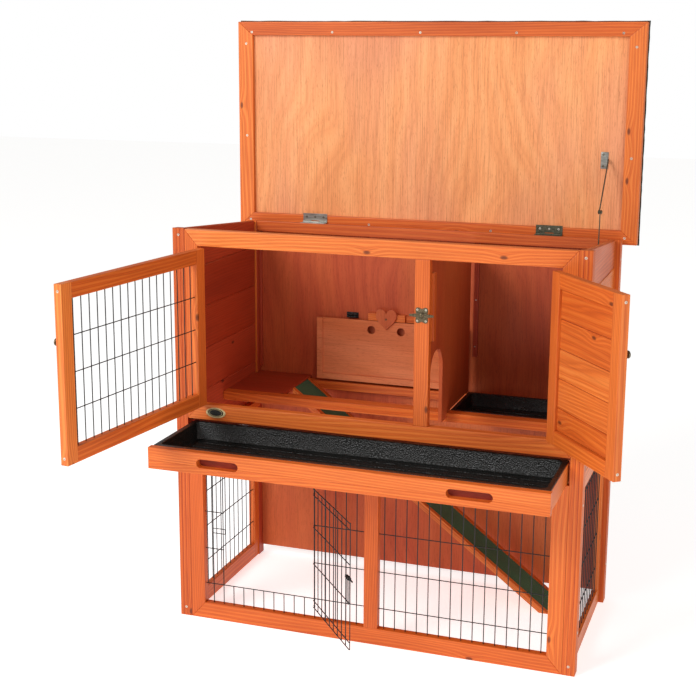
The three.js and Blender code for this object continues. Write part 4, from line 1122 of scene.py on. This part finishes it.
# %% Door hinges
def knuckles(name, place, z_mid, side, own, rider):
    """Alternate knuckles about z at the pin, with a thin leaf in the gap."""
    length, radius = 0.046, 0.0030
    start = z_mid - length / 2
    share = length / 5
    near, far = sorted((side * 0.0004, side * 0.0012) if own else (side * 0.0013, side * 0.0022))
    shapes = []
    for k in range(5):
        if (k % 2 == 0) != own:
            continue
        z0 = start + k * share + 0.0003
        z1 = start + (k + 1) * share - 0.0003
        base = place @ Matrix.Translation((0, 0, z0))
        tall = z1 - z0
        barrel = [(radius * 0.7, 0), (radius, 0.0004), (radius, tall - 0.0004), (radius * 0.7, tall)]
        shapes.append(turned(barrel, base, 16))
        shapes.append(block((near, 0.0006, z0), (far, 0.0040, z1), "z", place, ease=0.0002))
    shapes.append(block((near, 0.0036, start), (far, 0.0210, start + length), "z", place, ease=0.0002))
    put(name, shapes, dull_zinc, rider)


for hand, door in doors.items():
    s = door["sign"]
    still = hung(hand + "_door_hinge", 0)
    for level_name, z in (("top", 0.865), ("low", 0.605)):
        knuckles(f"{hand}_door_hinge_{level_name}_fixed", still, z, -s, True, body)
        knuckles(f"{hand}_door_hinge_{level_name}_moving", door["place"], z, s, False, hand + "_door")
print("door hinges done")

# %% [markdown]
# ## Lid stay
# A folding stay holds the lid: two thin arms with a rivet between them, a plate under the lid and a
# bracket on the wall. Their solids are right, so they are planed in place. The rivet heads are turned
# on a lathe profile, since a bare pin end would look unfinished.

# %% Stay
for name, rider in (("stay_upper_arm", "stay_upper_arm"), ("stay_lower_arm", "stay_lower_arm"),
                    ("stay_lid_plate", "lid"), ("stay_wall_bracket", body)):
    shape = planed(name, "z", 0.0002)
    shape["smooth"] = True
    put(name + "_metal", [shape], zinc if rider == "lid" else dull_zinc, rider, name)
lid_end = Vector(joint["stay_upper_pivot"]["pos_m"])
arm_points = [v.co.copy() for v in frame["nodes"]["stay_upper_arm"].data.vertices]
reach = max((p - lid_end).yz.length for p in arm_points)
tip = [p for p in arm_points if (p - lid_end).yz.length > reach - 0.001]
tip = sum(tip, Vector()) / len(tip)
elbow = lid_end.lerp(tip, 1 - 0.0045 / reach)
arms = [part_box("stay_lower_arm"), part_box("stay_upper_arm")]
x0, x1 = min(a[0].x for a in arms), max(a[1].x for a in arms)
dome = [(0.0050, -0.0002), (0.0050, 0.0008), (0.0042, 0.0019), (0.0022, 0.0026), (0.0004, 0.0028)]
y_way, z_way = (0, 1, 0), (0, 0, 1)
heads = [
    turned(dome, axes((x, elbow.y, elbow.z), u, v), 20)
    for x, u, v in ((x1, y_way, z_way), (x0, z_way, y_way))
]
put("stay_elbow_rivet", heads, bronze, "stay_upper_arm", slot="zinc")
lo, hi, face = leaf_of("stay_lid_plate")
x = lo.x + 0.006
spots = [(lid_place @ Vector((x, y, face)), look) for y in (lo.y + 0.006, hi.y - 0.006)]
screws("stay_plate_screws", "lid", spots, radius=0.0026, finish=bronze)
print("stay done")

# %% [markdown]
# ## Door latch, knobs and name plate
# One wing on the middle stile holds both doors. Its plate has four lobes with a screw in each, under an
# antique finish. The wing swells at its middle, round a turned boss. The knobs are turned too. The
# plate on the rail is left blank: a plain oval with a raised rim.

# %% Latch and knobs
plate_shape = planed("latch_plate", "x", 0.0004)
put("latch_plate_metal", [plate_shape], bronze, body, "latch_plate")
p_lo, p_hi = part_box("latch_plate")
centre = (p_lo + p_hi) / 2
wide, tall = (p_hi.x - p_lo.x) * 0.34, (p_hi.z - p_lo.z) * 0.35
corners4 = [((centre.x + a * wide, p_lo.y, centre.z + b * tall), forward) for a in (-1, 1) for b in (-1, 1)]
screws("latch_screws", body, corners4, radius=0.0024)
w_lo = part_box("latch_wing")[0]
wing = planed("latch_wing", "x", 0.0007)
boss_place = axes((centre.x, w_lo.y + 0.0004, centre.z), (1, 0, 0), (0, 0, 1))
boss = turned(
    [(0.0062, 0), (0.0062, 0.0012), (0.0052, 0.0026), (0.0030, 0.0034), (0.0005, 0.0037)], boss_place, 28
)
ridges = []
for sx in (-1, 1):
    for k in range(4):
        x = centre.x + sx * (0.011 + 0.0036 * k)
        low = (x - 0.0009, w_lo.y - 0.0009, centre.z - 0.0026)
        high = (x + 0.0009, w_lo.y + 0.0004, centre.z + 0.0026)
        ridges.append(block(low, high, "z", ease=0.0004))
put("latch_wing_metal", [wing, boss] + ridges, bronze, "latch_wing", "latch_wing")
knob_mm = [(5.2, 0), (5.0, 1.0), (3.6, 1.8), (3.4, 6.2), (5.0, 7.8), (7.4, 9.2),
           (8.0, 10.8), (7.7, 12.4), (6.0, 13.6), (3.0, 14.0), (0.4, 14.1)]
for hand, door in doors.items():
    s, w = door["sign"], door["width"]
    at = door["place"] @ Vector((s * (gap + w - member / 2), proud, 0.800))
    out = door["place"].to_3x3() @ Vector((0, -1, 0))
    knob = turned([(r * mm, h * mm) for r, h in knob_mm], facing_place(at, out), 32)
    put(hand + "_knob_turned", [knob], bronze, hand + "_door", hand + "_door_knob")
oval = axes((-0.384, front_y, 0.5275), (1, 0, 0), (0, 0, 1)) @ Matrix.Diagonal((1.34, 0.68, 1.0, 1.0))
rim_mm = [(18.8, 0), (18.8, 1.0), (18.0, 2.0), (16.4, 2.4), (15.0, 1.8), (14.6, 0.8), (13.8, 0.2)]
rim = turned([(r * mm, h * mm) for r, h in rim_mm], oval, 48)
dark = turned([(0.0146, 0.0006), (0.0140, 0.0011), (0.0004, 0.0011)], oval, 48)
put("name_plate_field", [dark], plastic, body)
bead_r = 0.012
bead = [rod([oval @ Vector((bead_r * math.cos(a), bead_r * math.sin(a), 0.0012)) for a in around(40)],
            0.0006, 6, close=True)]
put("blank_name_plate", [rim] + bead, plate_bronze, body)
print("latch, knobs and plate done")

# %% [markdown]
# ## Flap, heart and catch
# A plywood flap closes the ramp's hole. It stands against the back, held by a wooden heart that turns
# on a cleat, and a black spring catch. The flap's frame strips are one solid with its board in the
# frame. Here the board keeps that solid and the heart gets a soft round edge.

# %% Flap
put("flap_sheet", [planed("ramp_flap", "x", 0.0008, tone=0.58)], flap_ply, "ramp_flap", "ramp_flap")
heart = planed("heart_button", "z", 0.0016, tone=0.6, angle=30)
put("heart_wood", [heart], back_ply, "heart_button", "heart_button", slot="pine")
pivot = Vector(joint["heart_turn"]["pos_m"])
heart_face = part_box("heart_button")[0].y
screws(
    "heart_screw", "heart_button", [((pivot.x, heart_face, pivot.z), forward)], radius=0.0026, finish=bronze
)
flap_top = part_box("ramp_flap")[1].z
catch = [block(
    (-0.213, panel.y - 0.0022, flap_top + 0.002), (-0.181, panel.y, flap_top + 0.017), "x", ease=0.0006
)]
for z in (flap_top + 0.0045, flap_top + 0.0115):
    catch.append(block(
        (-0.210, panel.y - 0.0095, z), (-0.184, panel.y - 0.0018, z + 0.003), "x", ease=0.0009
    ))
put("wall_catch", catch, plastic, body)
print("flap done")

# %% [markdown]
# ## Floor and light
# A pale floor and a white world give the even surround of a product shot. One wide soft light high at
# the front left models the boards, and a weaker one from the right fills the shade. Big lights are
# used because their shadows stay soft, as from a studio tent.

# %% Floor and light
floor_shader, floor_tree, floor_bsdf = material("pale_floor", roughness=0.85)
drift = node(floor_tree, "TexNoise", Scale=1.5, Detail=2.0)
link(floor_tree, ramp(
    floor_tree, drift.outputs["Fac"], [(0.3, (0.90, 0.90, 0.90)), (0.7, (0.93, 0.93, 0.93))]
),
     floor_bsdf.inputs["Base Color"])
floor_bsdf.inputs["Emission Color"].default_value = (1, 1, 1, 1)
floor_bsdf.inputs["Emission Strength"].default_value = 0.62
ground = bpy.data.meshes.new("studio_floor")
ground.from_pydata([(-14, -14, 0), (14, -14, 0), (14, 14, 0), (-14, 14, 0)], [], [(0, 1, 2, 3)])
ground.materials.append(floor_shader)
floor_plane = bpy.data.objects.new("studio_floor", ground)
bpy.context.scene.collection.objects.link(floor_plane)


def soft_light(name, place, aim, size, power, colour=(1, 1, 1)):
    lamp = bpy.data.lights.new(name, "AREA")
    lamp.shape = "DISK"
    lamp.size = size
    lamp.energy = power
    lamp.color = colour
    thing = bpy.data.objects.new(name, lamp)
    thing.location = place
    thing.rotation_euler = (Vector(aim) - Vector(place)).to_track_quat("-Z", "Y").to_euler()
    bpy.context.scene.collection.objects.link(thing)
    return thing


soft_light("key", (-2.2, -3.4, 3.2), (0, 0.1, 0.6), 2.2, 150)
soft_light("fill", (3.2, -2.8, 1.8), (0, 0.1, 0.6), 2.4, 36)
world = bpy.data.worlds.new("studio")
world.use_nodes = True
sky = world.node_tree
backdrop = sky.nodes["Background"]
backdrop.inputs[0].default_value = (1, 1, 1, 1)
backdrop.inputs[1].default_value = 1.0
dim = node(sky, "Background", Color=(1, 0.985, 0.96, 1), Strength=0.38)
either = node(sky, "MixShader")
ray = node(sky, "LightPath")
link(sky, ray.outputs["Is Camera Ray"], either.inputs[0])
link(sky, dim.outputs[0], either.inputs[1])
link(sky, backdrop.outputs[0], either.inputs[2])
link(sky, either.outputs[0], sky.nodes["World Output"].inputs[0])
bpy.context.scene.world = world
bpy.context.scene.view_settings.view_transform = "Standard"
print("lights set")

# %% [markdown]
# ## Finish

# %% Finish
import json
